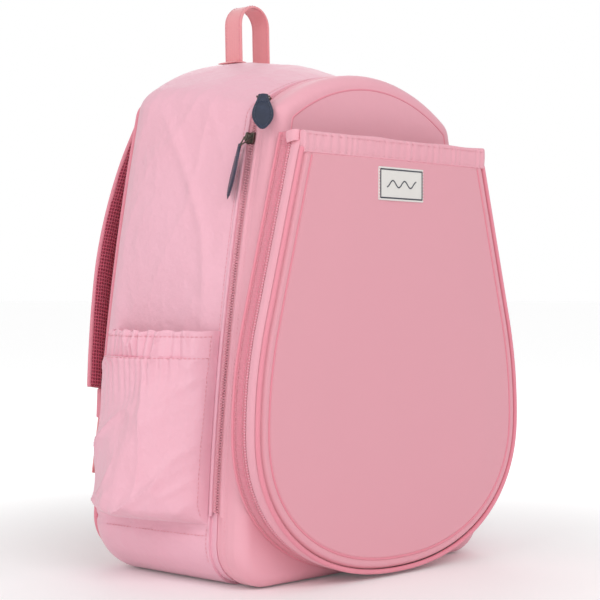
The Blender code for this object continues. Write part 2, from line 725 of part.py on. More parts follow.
def make_pull(name, bar, hinge, hang, leather):
    """A leather leaf whose neck wraps the link's foot bar."""
    face = hinge.cross(hang)
    hole = LINK_WIRE + PULL_LOOP_CLEARANCE
    wrap = hole + 0.0008
    start = hole + 0.0003
    widths = leaf_outline()
    right = [(w, start + share * PULL_LENGTH) for share, w in widths]
    left = [(-w, d) for w, d in reversed(right)]
    rings = []
    for side in (-1, 1):
        offset = face * side * PULL_THICKNESS / 2
        rings.append([bar + hinge * a + hang * b + offset for a, b in right + left])
    leaf = loft(name, rings, leather, smooth=0.0)
    for radius, operation, half in ((wrap, "UNION", PULL_NECK / 2), (hole, "DIFFERENCE", PULL_NECK)):
        ends = []
        for side in (-half, half):
            ring = []
            for k in range(12):
                angle = 2 * math.pi * k / 12
                ring.append(bar + hinge * side + radius * (math.cos(angle) * hang + math.sin(angle) * face))
            ends.append(ring)
        combine(leaf, loft("wrap", ends, leather), operation)


def hanging(away, droop):
    """A unit vector that leans away from the vertical by 90 degrees minus droop."""
    return away * math.cos(math.radians(droop)) - Vector((0, 0, math.sin(math.radians(droop))))


def make_zip_pull(word, seat, along, outward, heading, link_droop, leaf_droop, metal, leather):
    """Slider, link and leather leaf. Heading is the way the pull leans, seen from above,
    in degrees from +X; each droop is an angle below the horizontal."""
    turn = math.radians(heading)
    away = Vector((math.cos(turn), math.sin(turn), 0))
    hinge = Vector((-away.y, away.x, 0))
    eye = make_slider(f"zip_slider_{word}", seat, along, outward, hinge, metal)
    link_way = hanging(away, link_droop)
    bar = (hinge - outward * hinge.dot(outward)).normalized()
    make_link(f"pull_link_{word}", eye, bar, hinge, link_way, metal)
    make_pull(f"pull_leaf_{word}", eye + link_way * LINK_LENGTH, hinge, hanging(away, leaf_droop),
              leather)


def roof_slider_place():
    """Seat, direction and outward normal of the upper slider, at the roof arc's left end."""
    centre, radius, start, _end, _steps = body_arcs(0.0, FRONT_HEIGHT, 0.0)[3]
    angle = math.pi - start - SLIDER_LENGTH * 0.55 / radius
    outward = Vector((math.cos(angle), math.sin(angle)))
    seat = centre + outward * radius
    return seat, Vector((-outward.y, outward.x)), outward


def side_slider_place():
    """Seat, direction and outward normal of the lower slider, at the side arc's top end."""
    centre, radius, _start, end, _steps = body_arcs(0.0, FRONT_HEIGHT, 0.0)[1]
    angle = end - (SLIDER_LENGTH * 0.55 + LOWER_SLIDER_DROP) / radius
    outward = Vector((-math.cos(angle), math.sin(angle)))
    seat = Vector((-centre.x, centre.y)) + outward * radius
    return seat, Vector((outward.y, -outward.x)), outward


def sleeve_slider_place():
    """Seat, direction and outward normal of the sleeve's slider, high on its right flank."""
    half = sleeve_half()
    low, mouth = half[-4], half[-1]
    along = (mouth - low).normalized()
    seat = mouth - along * SLEEVE_SLIDER_DROP
    return seat, along, Vector((along.y, -along.x))


# Heading, link droop and leaf droop of each pull, in degrees.
UPPER_PULL_POSE = (224, 0, 43)
LOWER_PULL_POSE = (145, 46, 77)
SLEEVE_PULL_POSE = (0, 55, 78)


def lifted(point, y):
    return Vector((point.x, y, point.y))


def make_sliders(metal, leather):
    seam = FRONT - SEAM_GAP / 2
    seat, along, outward = roof_slider_place()
    make_zip_pull("upper", lifted(seat, seam), lifted(along, 0), lifted(outward, 0),
                  *UPPER_PULL_POSE, metal, leather)
    seat, along, outward = side_slider_place()
    make_zip_pull("lower", lifted(seat, seam), lifted(along, 0), lifted(outward, 0),
                  *LOWER_PULL_POSE, metal, leather)
    seat, along, outward = sleeve_slider_place()
    seam = TAPE_STRIP_FACE - SEAM_GAP / 2
    make_zip_pull("sleeve", lifted(seat, seam), lifted(along, 0), lifted(outward, 0),
                  *SLEEVE_PULL_POSE, metal, leather)


# ---- the whole bag ---------------------------------------------------------------------------------

def build():
    for thing in list(bpy.data.objects):
        bpy.data.objects.remove(thing)
    pink = make_material("coated_nylon_pink", (0.80, 0.39, 0.46), 0.55)
    tape = make_material("zip_tape_pink", (0.76, 0.24, 0.32), 0.70)
    piping = make_material("piping_pink", (0.82, 0.36, 0.44), 0.50)
    mesh_cloth = make_material("air_mesh_pink", (0.68, 0.16, 0.24), 0.85)
    webbing = make_material("webbing_salmon", (0.85, 0.36, 0.36), 0.60)
    lining = make_material("lining_grey", (0.42, 0.42, 0.44), 0.70)
    board = make_material("board_black", (0.03, 0.03, 0.03), 0.60)
    metal = make_material("gunmetal", (0.30, 0.28, 0.25), 0.25, 1.0)
    leather = make_material("navy_leather", (0.03, 0.04, 0.09), 0.50)
    plastic = make_material("acetal_pink", (0.74, 0.30, 0.38), 0.45)
    mark = make_material("woven_label", (0.66, 0.64, 0.60), 0.80)

    make_tub(pink)
    make_flap(pink)
    make_zip_tapes(tape)
    make_insides(lining, board)
    make_sleeve(pink, tape, piping, mark)
    make_back_pad(mesh_cloth)
    make_anchors(pink)
    make_handle(webbing)
    for side, word in ((-1, "left"), (1, "right")):
        make_pocket(side, word, pink)
        make_strap(side, word, mesh_cloth, webbing, plastic)
    make_sliders(metal, leather)


build()
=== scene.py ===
"""Racket backpack: cloth, padding, zips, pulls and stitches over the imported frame."""
import json
import math

import bmesh
import bpy
import numpy as np
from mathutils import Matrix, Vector


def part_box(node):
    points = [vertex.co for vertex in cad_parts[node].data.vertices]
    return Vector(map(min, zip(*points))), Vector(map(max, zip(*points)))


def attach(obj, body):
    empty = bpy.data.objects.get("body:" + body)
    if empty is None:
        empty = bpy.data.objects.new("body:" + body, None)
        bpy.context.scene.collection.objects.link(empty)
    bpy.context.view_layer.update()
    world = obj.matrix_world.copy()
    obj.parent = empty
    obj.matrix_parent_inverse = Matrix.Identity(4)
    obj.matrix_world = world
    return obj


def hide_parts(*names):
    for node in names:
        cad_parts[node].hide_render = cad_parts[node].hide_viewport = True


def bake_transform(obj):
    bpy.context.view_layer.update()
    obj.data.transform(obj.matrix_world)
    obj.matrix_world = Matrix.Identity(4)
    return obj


bl_info = {
    "name": "Racket backpack",
    "version": (1, 0, 0),
    "blender": (4, 5, 0),
    "location": "3D View > Sidebar > Bag",
    "description": "Makes the pieces of a racket backpack over its frame",
    "category": "Add Mesh",
}

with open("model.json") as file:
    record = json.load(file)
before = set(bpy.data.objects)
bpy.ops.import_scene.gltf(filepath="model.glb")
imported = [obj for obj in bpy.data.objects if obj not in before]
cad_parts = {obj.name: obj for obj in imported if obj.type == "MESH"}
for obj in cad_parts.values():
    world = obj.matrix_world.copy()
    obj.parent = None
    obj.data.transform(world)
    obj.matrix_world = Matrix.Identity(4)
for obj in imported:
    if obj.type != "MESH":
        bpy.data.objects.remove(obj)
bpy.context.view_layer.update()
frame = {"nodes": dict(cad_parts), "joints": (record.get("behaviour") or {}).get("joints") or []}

# Sizes of the frame's cut, in metres -------------------------------------------------
BODY_WIDTH, BODY_DEPTH, FRONT_HEIGHT = 0.315, 0.152, 0.424
CROWN_RISE, SWELL = 0.013, 0.010
SIDE_ARC, SIDE_ARC_HEIGHT, ROOF_ARC = 2.0, -0.050, 0.182
SHOULDER_RADIUS, BASE_RADIUS, BACK_ROUNDING = 0.018, 0.035, 0.018
FLAP_DEPTH, FLAP_ROUNDING, SEAM_GAP = 0.031, 0.011, 0.001
TAPE_RECESS, TAPE_WIDTH, ZIP_END = 0.0022, 0.0062, 0.060
SLEEVE_WIDTH, SLEEVE_MOUTH, SLEEVE_TOP = 0.334, 0.228, 0.367
SLEEVE_WIDEST, SLEEVE_FLOOR, SLEEVE_ARC, SLEEVE_ROUNDNESS = 0.128, 0.004, 0.330, 2.2
SLEEVE_BACK, SLEEVE_DEPTH, TAPE_STRIP = 0.003, 0.026, 0.0125
COVER_THICKNESS, BAND_HEIGHT = 0.006, 0.018
POCKET_FOOT, POCKET_TOP, POCKET_BULGE, POCKET_BAND = 0.052, 0.207, 0.030, 0.022
PAD_THICKNESS, PAD_INSET = 0.012, 0.016
STRAP_WIDTH, STRAP_THICKNESS, WEBBING_WIDTH = 0.058, 0.011, 0.025
HANDLE_SPAN, HANDLE_RISE, HANDLE_WIDTH = 0.035, 0.053, 0.021
LABEL_WIDTH, LABEL_HEIGHT, LABEL_DROP = 0.058, 0.028, 0.038
BASE_SEAM = 0.047           # height of the seam above the base panel
STITCH_LINE = 0.0085        # the cover's inner piping, in from its edge
GAP = 0.0004

FRONT = -BODY_DEPTH / 2
BACK = BODY_DEPTH / 2
BACK_CURVE = BACK_ROUNDING * 1.6
TUB_LIP = TAPE_WIDTH + GAP
FLAP_FACE = FRONT - FLAP_DEPTH
TAPE_FACE = FLAP_FACE - SLEEVE_BACK - TAPE_STRIP
COVER_BACK = FLAP_FACE - SLEEVE_DEPTH
COVER_FACE = COVER_BACK - COVER_THICKNESS
PAD_BACK = BACK + GAP + PAD_THICKNESS
HANDLE_Y = BACK - 0.031
STRAP_LINE = ((0.050, 0.0115, 0.402), (0.056, 0.0170, 0.380), (0.065, 0.0260, 0.348),
              (0.074, 0.0330, 0.310), (0.082, 0.0370, 0.268), (0.088, 0.0370, 0.226),
              (0.094, 0.0340, 0.184), (0.099, 0.0300, 0.150))


# ---- materials -----------------------------------------------------------------------

def linear(code):
    """An sRGB hex colour as linear RGBA."""
    parts = [int(code[i:i + 2], 16) / 255 for i in (1, 3, 5)]
    return tuple(c / 12.92 if c <= 0.04045 else ((c + 0.055) / 1.055) ** 2.4 for c in parts) + (1.0,)


def add_node(tree, kind, values=None, links=None, **settings):
    """Adds a node; values and links are keyed by the input's name or number."""
    node = tree.nodes.new(kind)
    for key, value in settings.items():
        setattr(node, key, value)
    for key, value in (values or {}).items():
        node.inputs[key].default_value = value
    for key, socket in (links or {}).items():
        tree.links.new(socket, node.inputs[key])
    return node


def shaded(name, colour, roughness, sheen=0.0, metallic=0.0, coat=0.0, specular=0.5):
    material = bpy.data.materials.new(name)
    material.use_nodes = True
    tree = material.node_tree
    shader = tree.nodes["Principled BSDF"]
    shader.inputs["Base Color"].default_value = colour
    shader.inputs["Roughness"].default_value = roughness
    shader.inputs["Metallic"].default_value = metallic
    shader.inputs["Sheen Weight"].default_value = sheen
    shader.inputs["Sheen Roughness"].default_value = 0.45
    shader.inputs["Coat Weight"].default_value = coat
    shader.inputs["Coat Roughness"].default_value = 0.3
    shader.inputs["Specular IOR Level"].default_value = specular
    return material, tree, shader


def lattice(tree, place, pitch_u, pitch_v):
    """Sines across both directions of a place in metres, one wave to each pitch."""
    split = add_node(tree, "ShaderNodeSeparateXYZ", links={0: place})
    waves = []
    for axis, pitch in ((0, pitch_u), (1, pitch_v)):
        turn = add_node(tree, "ShaderNodeMath", {1: 2 * math.pi / pitch}, {0: split.outputs[axis]},
                        operation="MULTIPLY")
        waves.append(add_node(tree, "ShaderNodeMath", links={0: turn.outputs[0]}, operation="SINE"))
    return waves


def cloth(name, colour, shade, roughness, pitch, sheen=0.25, weave=0.12, crush=0.25, crush_size=0.03,
          blotch=0.35, specular=0.4):
    """A woven cloth. Pitch is the thread spacing in metres, shade the second colour, laid on in soft random
    patches.
    """
    material, tree, shader = shaded(name, linear(colour), roughness, sheen, specular=specular)
    where = add_node(tree, "ShaderNodeUVMap", uv_map="cut")
    here = add_node(tree, "ShaderNodeTexCoord")
    waves = lattice(tree, where.outputs[0], pitch, pitch)
    thread = add_node(tree, "ShaderNodeMath", links={0: waves[0].outputs[0], 1: waves[1].outputs[0]},
                      operation="MULTIPLY")
    rumple = add_node(tree, "ShaderNodeTexNoise", {"Scale": 1 / crush_size, "Detail": 4.0,
                      "Roughness": 0.5}, {"Vector": here.outputs["Object"]})
    patch = add_node(tree, "ShaderNodeTexNoise", {"Scale": 9.0, "Detail": 3.0},
                     {"Vector": here.outputs["Object"]})
    amount = add_node(tree, "ShaderNodeMapRange", {"From Min": 0.35, "From Max": 0.75, "To Max": blotch},
                      {"Value": patch.outputs[0]})
    mixed = add_node(tree, "ShaderNodeMix", {6: linear(colour), 7: linear(shade)},
                     {0: amount.outputs[0]}, data_type="RGBA")
    fine = add_node(tree, "ShaderNodeBump", {"Strength": weave, "Distance": 0.0003},
                    {"Height": thread.outputs[0]})
    broad = add_node(tree, "ShaderNodeBump", {"Strength": crush, "Distance": 0.004},
                     {"Height": rumple.outputs[0], "Normal": fine.outputs[0]})
    tree.links.new(mixed.outputs[2], shader.inputs["Base Color"])
    tree.links.new(broad.outputs[0], shader.inputs["Normal"])
    return material


def air_mesh(name, colour, hole):
    """Spacer mesh: rows of open holes in a knitted face over foam, the holes painted dark as the shade in
    their depth.
    """
    material, tree, shader = shaded(name, linear(colour), 0.85, 0.3)
    where = add_node(tree, "ShaderNodeUVMap", uv_map="cut")
    waves = lattice(tree, where.outputs[0], 0.0048, 0.0062)
    net = add_node(tree, "ShaderNodeMath", links={0: waves[0].outputs[0], 1: waves[1].outputs[0]},
                   operation="MULTIPLY")
    depth = add_node(tree, "ShaderNodeMath", links={0: net.outputs[0]}, operation="ABSOLUTE")
    edge = add_node(tree, "ShaderNodeMapRange", {"From Min": 0.25, "From Max": 0.62},
                    {"Value": depth.outputs[0]}, interpolation_type="SMOOTHSTEP")
    # Painted shade: the holes take the dark hole colour.
    mixed = add_node(tree, "ShaderNodeMix", {6: linear(colour), 7: linear(hole)},
                     {0: edge.outputs[0]}, data_type="RGBA")
    bump = add_node(tree, "ShaderNodeBump", {"Strength": 0.9, "Distance": 0.0012},
                    {"Height": edge.outputs[0]}, invert=True)
    tree.links.new(mixed.outputs[2], shader.inputs["Base Color"])
    tree.links.new(bump.outputs[0], shader.inputs["Normal"])
    return material


def ribbed(name, colour, shade, pitch_u, pitch_v, roughness, sheen=0.4, depth=0.5):
    """A narrow woven band: ribs across it, drawn as coarse as they need to show, with painted shade in the
    hollows between the ribs.
    """
    material, tree, shader = shaded(name, linear(colour), roughness, sheen)
    where = add_node(tree, "ShaderNodeUVMap", uv_map="cut")
    waves = lattice(tree, where.outputs[0], pitch_u, pitch_v)
    both = add_node(tree, "ShaderNodeMath", {1: 0.35}, {0: waves[0].outputs[0]}, operation="MULTIPLY")
    rib = add_node(tree, "ShaderNodeMath", links={0: both.outputs[0], 1: waves[1].outputs[0]},
                   operation="ADD")
    # Painted shade: the colour darkens to the shade colour in the rib hollows.
    tone = add_node(tree, "ShaderNodeMapRange", {"From Min": -1.3, "From Max": 0.8, "To Min": 0.6,
                    "To Max": 0.0}, {"Value": rib.outputs[0]})
    mixed = add_node(tree, "ShaderNodeMix", {6: linear(colour), 7: linear(shade)},
                     {0: tone.outputs[0]}, data_type="RGBA")
    bump = add_node(tree, "ShaderNodeBump", {"Strength": depth, "Distance": 0.0005},
                    {"Height": rib.outputs[0]})
    tree.links.new(mixed.outputs[2], shader.inputs["Base Color"])
    tree.links.new(bump.outputs[0], shader.inputs["Normal"])
    return material


def hide(name, colour, worn):
    """Dyed, finished cowhide: fine pebbled grain and soft random patches rubbed a little paler."""
    material, tree, shader = shaded(name, linear(colour), 0.42, coat=0.15)
    here = add_node(tree, "ShaderNodeTexCoord")
    cells = add_node(tree, "ShaderNodeTexVoronoi", {"Scale": 1400.0}, {"Vector": here.outputs["Object"]})
    cloud = add_node(tree, "ShaderNodeTexNoise", {"Scale": 180.0, "Detail": 4.0},
                     {"Vector": here.outputs["Object"]})
    rub = add_node(tree, "ShaderNodeMapRange", {"From Min": 0.45, "From Max": 0.75, "To Max": 0.5},
                   {"Value": cloud.outputs[0]})
    mixed = add_node(tree, "ShaderNodeMix", {6: linear(colour), 7: linear(worn)},
                     {0: rub.outputs[0]}, data_type="RGBA")
    gloss = add_node(tree, "ShaderNodeMapRange", {"To Min": 0.34, "To Max": 0.55},
                     {"Value": cloud.outputs[0]})
    bump = add_node(tree, "ShaderNodeBump", {"Strength": 0.35, "Distance": 0.0003},
                    {"Height": cells.outputs[0]})
    tree.links.new(mixed.outputs[2], shader.inputs["Base Color"])
    tree.links.new(gloss.outputs[0], shader.inputs["Roughness"])
    tree.links.new(bump.outputs[0], shader.inputs["Normal"])
    return material


def plated(name, colour, rough):
    """Plated die-cast zinc: a dark mirror-like skin with hazy handling marks."""
    material, tree, shader = shaded(name, linear(colour), rough, metallic=1.0)
    here = add_node(tree, "ShaderNodeTexCoord")
    haze = add_node(tree, "ShaderNodeTexNoise", {"Scale": 500.0, "Detail": 3.0},
                    {"Vector": here.outputs["Object"]})
    gloss = add_node(tree, "ShaderNodeMapRange", {"To Min": rough * 0.7, "To Max": rough * 1.5},
                     {"Value": haze.outputs[0]})
    tree.links.new(gloss.outputs[0], shader.inputs["Roughness"])
    return material


def moulded(name, colour, rough):
    """Moulded plastic with a fine spark-eroded grain."""
    material, tree, shader = shaded(name, linear(colour), rough)
    here = add_node(tree, "ShaderNodeTexCoord")
    grain = add_node(tree, "ShaderNodeTexNoise", {"Scale": 2500.0, "Detail": 2.0},
                     {"Vector": here.outputs["Object"]})
    bump = add_node(tree, "ShaderNodeBump", {"Strength": 0.15, "Distance": 0.0002},
                    {"Height": grain.outputs[0]})
    tree.links.new(bump.outputs[0], shader.inputs["Normal"])
    return material


MATERIALS = {}


def make_materials(colours):
    # Coated nylon: tight plain weave with a soft satin face. Threads are 0.3 mm, drawn at 1.1 mm.
    MATERIALS["nylon"] = cloth("coated_nylon", colours.nylon, colours.nylon_shade, 0.52, 0.0011)
    MATERIALS["panel"] = cloth("padded_nylon", colours.cover, colours.nylon_shade, 0.5, 0.0011,
                               crush=0.10, crush_size=0.05, blotch=0.2)
    # The light, unpadded nylon of the sides and pockets crumples more and catches more light.
    MATERIALS["light"] = cloth("light_nylon", colours.side, colours.nylon, 0.48, 0.0011,
                               crush=0.8, crush_size=0.028)
    # The ribbed finishes below darken to their second colour in the rib hollows: painted shade.
    MATERIALS["tape"] = ribbed("zip_tape", colours.tape, colours.tape_shade, 0.0016, 0.0013, 0.7)
    MATERIALS["main_tape"] = ribbed("main_zip_tape", colours.nylon, colours.piping, 0.0016, 0.0013, 0.7)
    MATERIALS["coil"] = moulded("nylon_zip_coil", colours.nylon, 0.4)
    # The piping cord is real; its deeper pink is partly its own colour and partly painted shade of the seam
    # creases.
    MATERIALS["piping"] = cloth("piping_cloth", colours.piping, colours.tape, 0.5, 0.0009, crush=0.1)
    MATERIALS["thread"] = ribbed("sewing_thread", colours.thread, colours.tape, 0.0008, 0.0008, 0.55)
    MATERIALS["mesh"] = air_mesh("air_mesh", colours.mesh, colours.mesh_hole_shade)
    MATERIALS["webbing"] = ribbed("satin_webbing", colours.webbing, colours.piping, 0.0030, 0.0011, 0.38,
                                  depth=0.25)
    MATERIALS["lining"] = cloth("grey_lining", "#b9b4b6", "#8f8a8d", 0.6, 0.0010)
    MATERIALS["board"] = moulded("stiffener_board", "#2b2a2c", 0.55)
    MATERIALS["metal"] = plated("gunmetal_plating", "#6d665e", 0.28)
    MATERIALS["leather"] = hide("navy_leather", colours.leather, "#3f4a66")
    MATERIALS["leather_thread"] = ribbed("navy_thread", "#4a5676", "#28304a", 0.0008, 0.0008, 0.5)
    MATERIALS["plastic"] = moulded("moulded_acetal", colours.piping, 0.4)
    MATERIALS["label"] = ribbed("woven_satin_label", "#efece8", "#d9d5cf", 0.0009, 0.0009, 0.5,
                                depth=0.15)
    MATERIALS["label_ink"] = ribbed("woven_label_border", "#2b3044", "#1f2434", 0.0009, 0.0009, 0.6)


# ---- outlines ----------------------------------------------------------------------

def arc(centre, radius, start, end, count):
    turn = np.linspace(start, end, count)
    return np.column_stack((centre[0] + radius * np.cos(turn), centre[1] + radius * np.sin(turn)))


def meeting(centre_a, radius_a, centre_b, radius_b):
    """Upper right place where two circles meet."""
    a, b = np.array(centre_a), np.array(centre_b)
    reach = np.linalg.norm(b - a)
    along = (reach ** 2 + radius_a ** 2 - radius_b ** 2) / (2 * reach)
    across = math.sqrt(radius_a ** 2 - along ** 2)
    foot = a + (b - a) * along / reach
    side = np.array((a[1] - b[1], b[0] - a[0])) * across / reach
    return max((foot + side, foot - side), key=lambda p: p[0] + p[1])


def body_loop(inset=0.0, top=FRONT_HEIGHT, floor=0.0, counts=(26, 16, 110, 12, 46)):
    """The body's outline, a closed loop from the middle of the base round by the right."""
    side_centre = np.array((BODY_WIDTH / 2 - SIDE_ARC, SIDE_ARC_HEIGHT))
    roof_centre = np.array((0.0, top - ROOF_ARC))
    shoulder = meeting(roof_centre, ROOF_ARC - SHOULDER_RADIUS, side_centre, SIDE_ARC - SHOULDER_RADIUS)
    low = floor + BASE_RADIUS
    base_x = side_centre[0] + math.sqrt((SIDE_ARC - BASE_RADIUS) ** 2 - (low - SIDE_ARC_HEIGHT) ** 2)
    base = np.array((base_x, low))
    base_end = math.atan2(*(base - side_centre)[::-1])
    side_end = math.atan2(*(shoulder - side_centre)[::-1])
    roof_end = math.atan2(*(shoulder - roof_centre)[::-1])
    flat = np.column_stack((np.linspace(0, base_x, counts[0]), np.full(counts[0], floor + inset)))
    half = [flat,
            arc(base, BASE_RADIUS - inset, -math.pi / 2, base_end, counts[1])[1:],
            arc(side_centre, SIDE_ARC - inset, base_end, side_end, counts[2])[1:],
            arc(shoulder, SHOULDER_RADIUS - inset, side_end, roof_end, counts[3])[1:],
            arc(roof_centre, ROOF_ARC - inset, roof_end, math.pi / 2, counts[4])[1:]]
    half = np.vstack(half)
    return np.vstack((half, half[-2:0:-1] * (-1, 1)))


def fullness(y):
    share = np.maximum(0.0, y - FRONT - TUB_LIP) / (BODY_DEPTH - TUB_LIP)
    return np.sin(math.pi / 2 * np.minimum(1.0, share * 1.45))


def tub_loop(inset, y):
    swell = SWELL * float(fullness(y))
    return body_loop(inset - swell, FRONT_HEIGHT + CROWN_RISE * float(fullness(y)), swell)


def sleeve_half(low=70, side=46, straight=34):
    """Right half of the sleeve's outline, from the bottom middle up to the mouth."""
    half, power = SLEEVE_WIDTH / 2, 2 / SLEEVE_ROUNDNESS
    turn = np.linspace(0, math.pi / 2, low)
    bottom = np.column_stack((half * np.sin(turn) ** power,
                              SLEEVE_WIDEST - (SLEEVE_WIDEST - SLEEVE_FLOOR) * np.cos(turn) ** power))
    centre = np.array((half - SLEEVE_ARC, SLEEVE_WIDEST))
    mouth = np.array((SLEEVE_MOUTH / 2, SLEEVE_TOP))
    reach = mouth - centre
    touch = math.atan2(reach[1], reach[0]) - math.acos(SLEEVE_ARC / np.linalg.norm(reach))
    flank = arc(centre, SLEEVE_ARC, 0, touch, side)[1:]
    rise = np.linspace(0, 1, straight)[1:, None]
    return np.vstack((bottom, flank, flank[-1] + (mouth - flank[-1]) * rise))


def sleeve_path(inset=0.0, top=SLEEVE_TOP):
    """The sleeve's U from the left of the mouth, evenly stepped, moved inwards by inset."""
    half = sleeve_half()
    path = np.vstack((half[::-1] * (-1, 1), half[1:]))
    path = even(path, 330)
    path = path - outward(path) * inset
    path = path[path[:, 1] < top + 1e-6]
    return even(path, 330)


def even(path, count):
    """The path stepped evenly along its length."""
    step = np.linalg.norm(np.diff(path, axis=0), axis=1)
    run = np.concatenate(([0], np.cumsum(step)))
    want = np.linspace(0, run[-1], count)
    return np.column_stack([np.interp(want, run, path[:, k]) for k in range(path.shape[1])])


def outward(path, closed=False):
    """Outward normals of a path that runs anticlockwise."""
    if closed:
        along = np.roll(path, -1, 0) - np.roll(path, 1, 0)
    else:
        along = np.gradient(path, axis=0)
    along /= np.maximum(np.linalg.norm(along, axis=1, keepdims=True), 1e-12)
    return np.column_stack((along[:, 1], -along[:, 0]))


def smooth_line(knots, steps):
    """Catmull-Rom points through the knots."""
    knots = [np.array(k, float) for k in knots]
    ends = [2 * knots[0] - knots[1]] + knots + [2 * knots[-1] - knots[-2]]
    points = []
    for a, b, c, d in zip(ends, ends[1:], ends[2:], ends[3:]):
        for t in np.arange(steps) / steps:
            points.append(0.5 * (2 * b + (c - a) * t + (2 * a - 5 * b + 4 * c - d) * t ** 2
                                 + (3 * b - a - 3 * c + d) * t ** 3))
    return np.array(points + [knots[-1]])


# ---- soft relief -----------------------------------------------------------------------

def drift(u, v, seed):
    """Smooth noise from -1 to 1 over a plane, one cell to each unit."""
    ui, vi = np.floor(u).astype(np.int64), np.floor(v).astype(np.int64)
    fu, fv = u - ui, v - vi
    fu, fv = fu * fu * (3 - 2 * fu), fv * fv * (3 - 2 * fv)

    def corner(a, b):
        mix = (a * 374761393 + b * 668265263 + seed * 1442695041) & 0xFFFFFFFF
        mix = ((mix ^ (mix >> 13)) * 1274126177) & 0xFFFFFFFF
        return ((mix ^ (mix >> 16)) & 0xFFFF) / 32767.5 - 1
    low = corner(ui, vi) * (1 - fu) + corner(ui + 1, vi) * fu
    high = corner(ui, vi + 1) * (1 - fu) + corner(ui + 1, vi + 1) * fu
    return low * (1 - fv) + high * fv


def creases(u, v, length, width, angle, seed):
    """Long soft folds, 0 to 1: length and width in metres, angle in degrees from u."""
    a = math.radians(angle)
    p = (u * math.cos(a) + v * math.sin(a)) / length
    q = (-u * math.sin(a) + v * math.cos(a)) / width
    q = q + 0.7 * drift(p * 1.3, q * 0.35, seed + 7)
    ridge = 1 - np.abs(drift(p, q, seed))
    return ridge ** 4 * (0.5 + 0.5 * drift(p * 0.8 + 9, q * 0.4, seed + 3))


def ease(low, high, value):
    t = np.clip((value - low) / (high - low), 0, 1)
    return t * t * (3 - 2 * t)


def groove(distance, width):
    return np.exp(-(distance / width) ** 2)


# ---- mesh making -----------------------------------------------------------------------

def mesh_piece(name, grids, material, thickness=0.0, weld=2e-5, smooth=60, extra=()):
    """Joins grids of (points, u, v, closed, slot) into one object, with UVs in metres."""
    bm = bmesh.new()
    layer = bm.loops.layers.uv.new("cut")
    for points, u, v, closed, slot in grids:
        rows, cols = points.shape[:2]
        verts = [[bm.verts.new(p) for p in row] for row in points]
        for i in range(rows - 1):
            for j in range(cols if closed else cols - 1):
                k = (j + 1) % cols
                corners = ((i, j), (i, k), (i + 1, k), (i + 1, j))
                face = bm.faces.new([verts[a][b] for a, b in corners])
                face.material_index = slot
                face.smooth = True
                for loop, (a, b) in zip(face.loops, corners):
                    wrap = u.shape[1] - 1 if closed and b == 0 and j == cols - 1 else b
                    loop[layer].uv = (u[a, wrap], v[a, wrap])
    bmesh.ops.remove_doubles(bm, verts=bm.verts, dist=weld)
    bmesh.ops.recalc_face_normals(bm, faces=bm.faces)
    mesh = bpy.data.meshes.new(name)
    bm.to_mesh(mesh)
    bm.free()
    thing = bpy.data.objects.new(name, mesh)
    bpy.context.collection.objects.link(thing)
    for one in (material,) + tuple(extra):
        mesh.materials.append(one)
    if thickness:
        wall = thing.modifiers.new("wall", "SOLIDIFY")
        wall.thickness = thickness
        wall.offset = -1
        wall.use_even_offset = False
        settle(thing)
    thing.data.set_sharp_from_angle(angle=math.radians(smooth))
    return thing


def settle(thing):
    """Applies the object's modifiers to a plain mesh."""
    graph = bpy.context.evaluated_depsgraph_get()
    mesh = bpy.data.meshes.new_from_object(thing.evaluated_get(graph), depsgraph=graph)
    mesh.name = thing.name
    thing.modifiers.clear()
    thing.data = mesh
    return thing


def spans(points, axis):
    """Running length of each row or column of a grid."""
    step = np.linalg.norm(np.diff(points, axis=axis), axis=2)
    run = np.cumsum(step, axis=axis)
    pad = [(0, 0), (0, 0)]
    pad[axis] = (1, 0)
    return np.pad(run, pad)


def at_depth(path, y):
    return np.column_stack((path[:, 0], np.full(len(path), y), path[:, 1]))


def around(points):
    """UV lengths round a closed grid, with one more column where it closes."""
    wrapped = np.concatenate((points, points[:, :1]), axis=1)
    return spans(wrapped, 1), np.pad(spans(points, 0), ((0, 0), (0, 1)), mode="edge")


def tube(name, path, radius, material, sides=10, closed=False, flat=1.0):
    """A round or flattened tube along 3-D points; its ends are drawn in."""
    path = np.asarray(path, float)
    if closed:
        along = np.roll(path, -1, 0) - np.roll(path, 1, 0)
    else:
        along = np.gradient(path, axis=0)
    along /= np.linalg.norm(along, axis=1, keepdims=True)
    up = np.array((0.0, 1.0, 0.0)) if abs(along[0, 1]) < 0.9 else np.array((1.0, 0.0, 0.0))
    frames = []
    for t in along:
        up = up - t * np.dot(up, t)
        up /= np.linalg.norm(up)
        frames.append(up)
    up = np.array(frames)
    side = np.cross(along, up)
    size = np.full(len(path), radius)
    if not closed:
        size[0] = size[-1] = radius * 0.05
        path = np.vstack((path[:1], path, path[-1:]))
        size = np.concatenate(([radius * 0.01], [radius * 0.9], size[1:-1], [radius * 0.9], [radius * 0.01]))
        up, side = np.vstack((up[:1], up, up[-1:])), np.vstack((side[:1], side, side[-1:]))
    turn = np.linspace(0, 2 * math.pi, sides + 1)[:-1]
    ring = (up[:, None] * np.cos(turn)[:, None] * flat + side[:, None] * np.sin(turn)[:, None])
    points = path[:, None] + ring * size[:, None, None]
    if closed:
        points = np.concatenate((points, points[:1]))
    u, v = around(points)
    return mesh_piece(name, [(points, u, v, True, 0)], material)


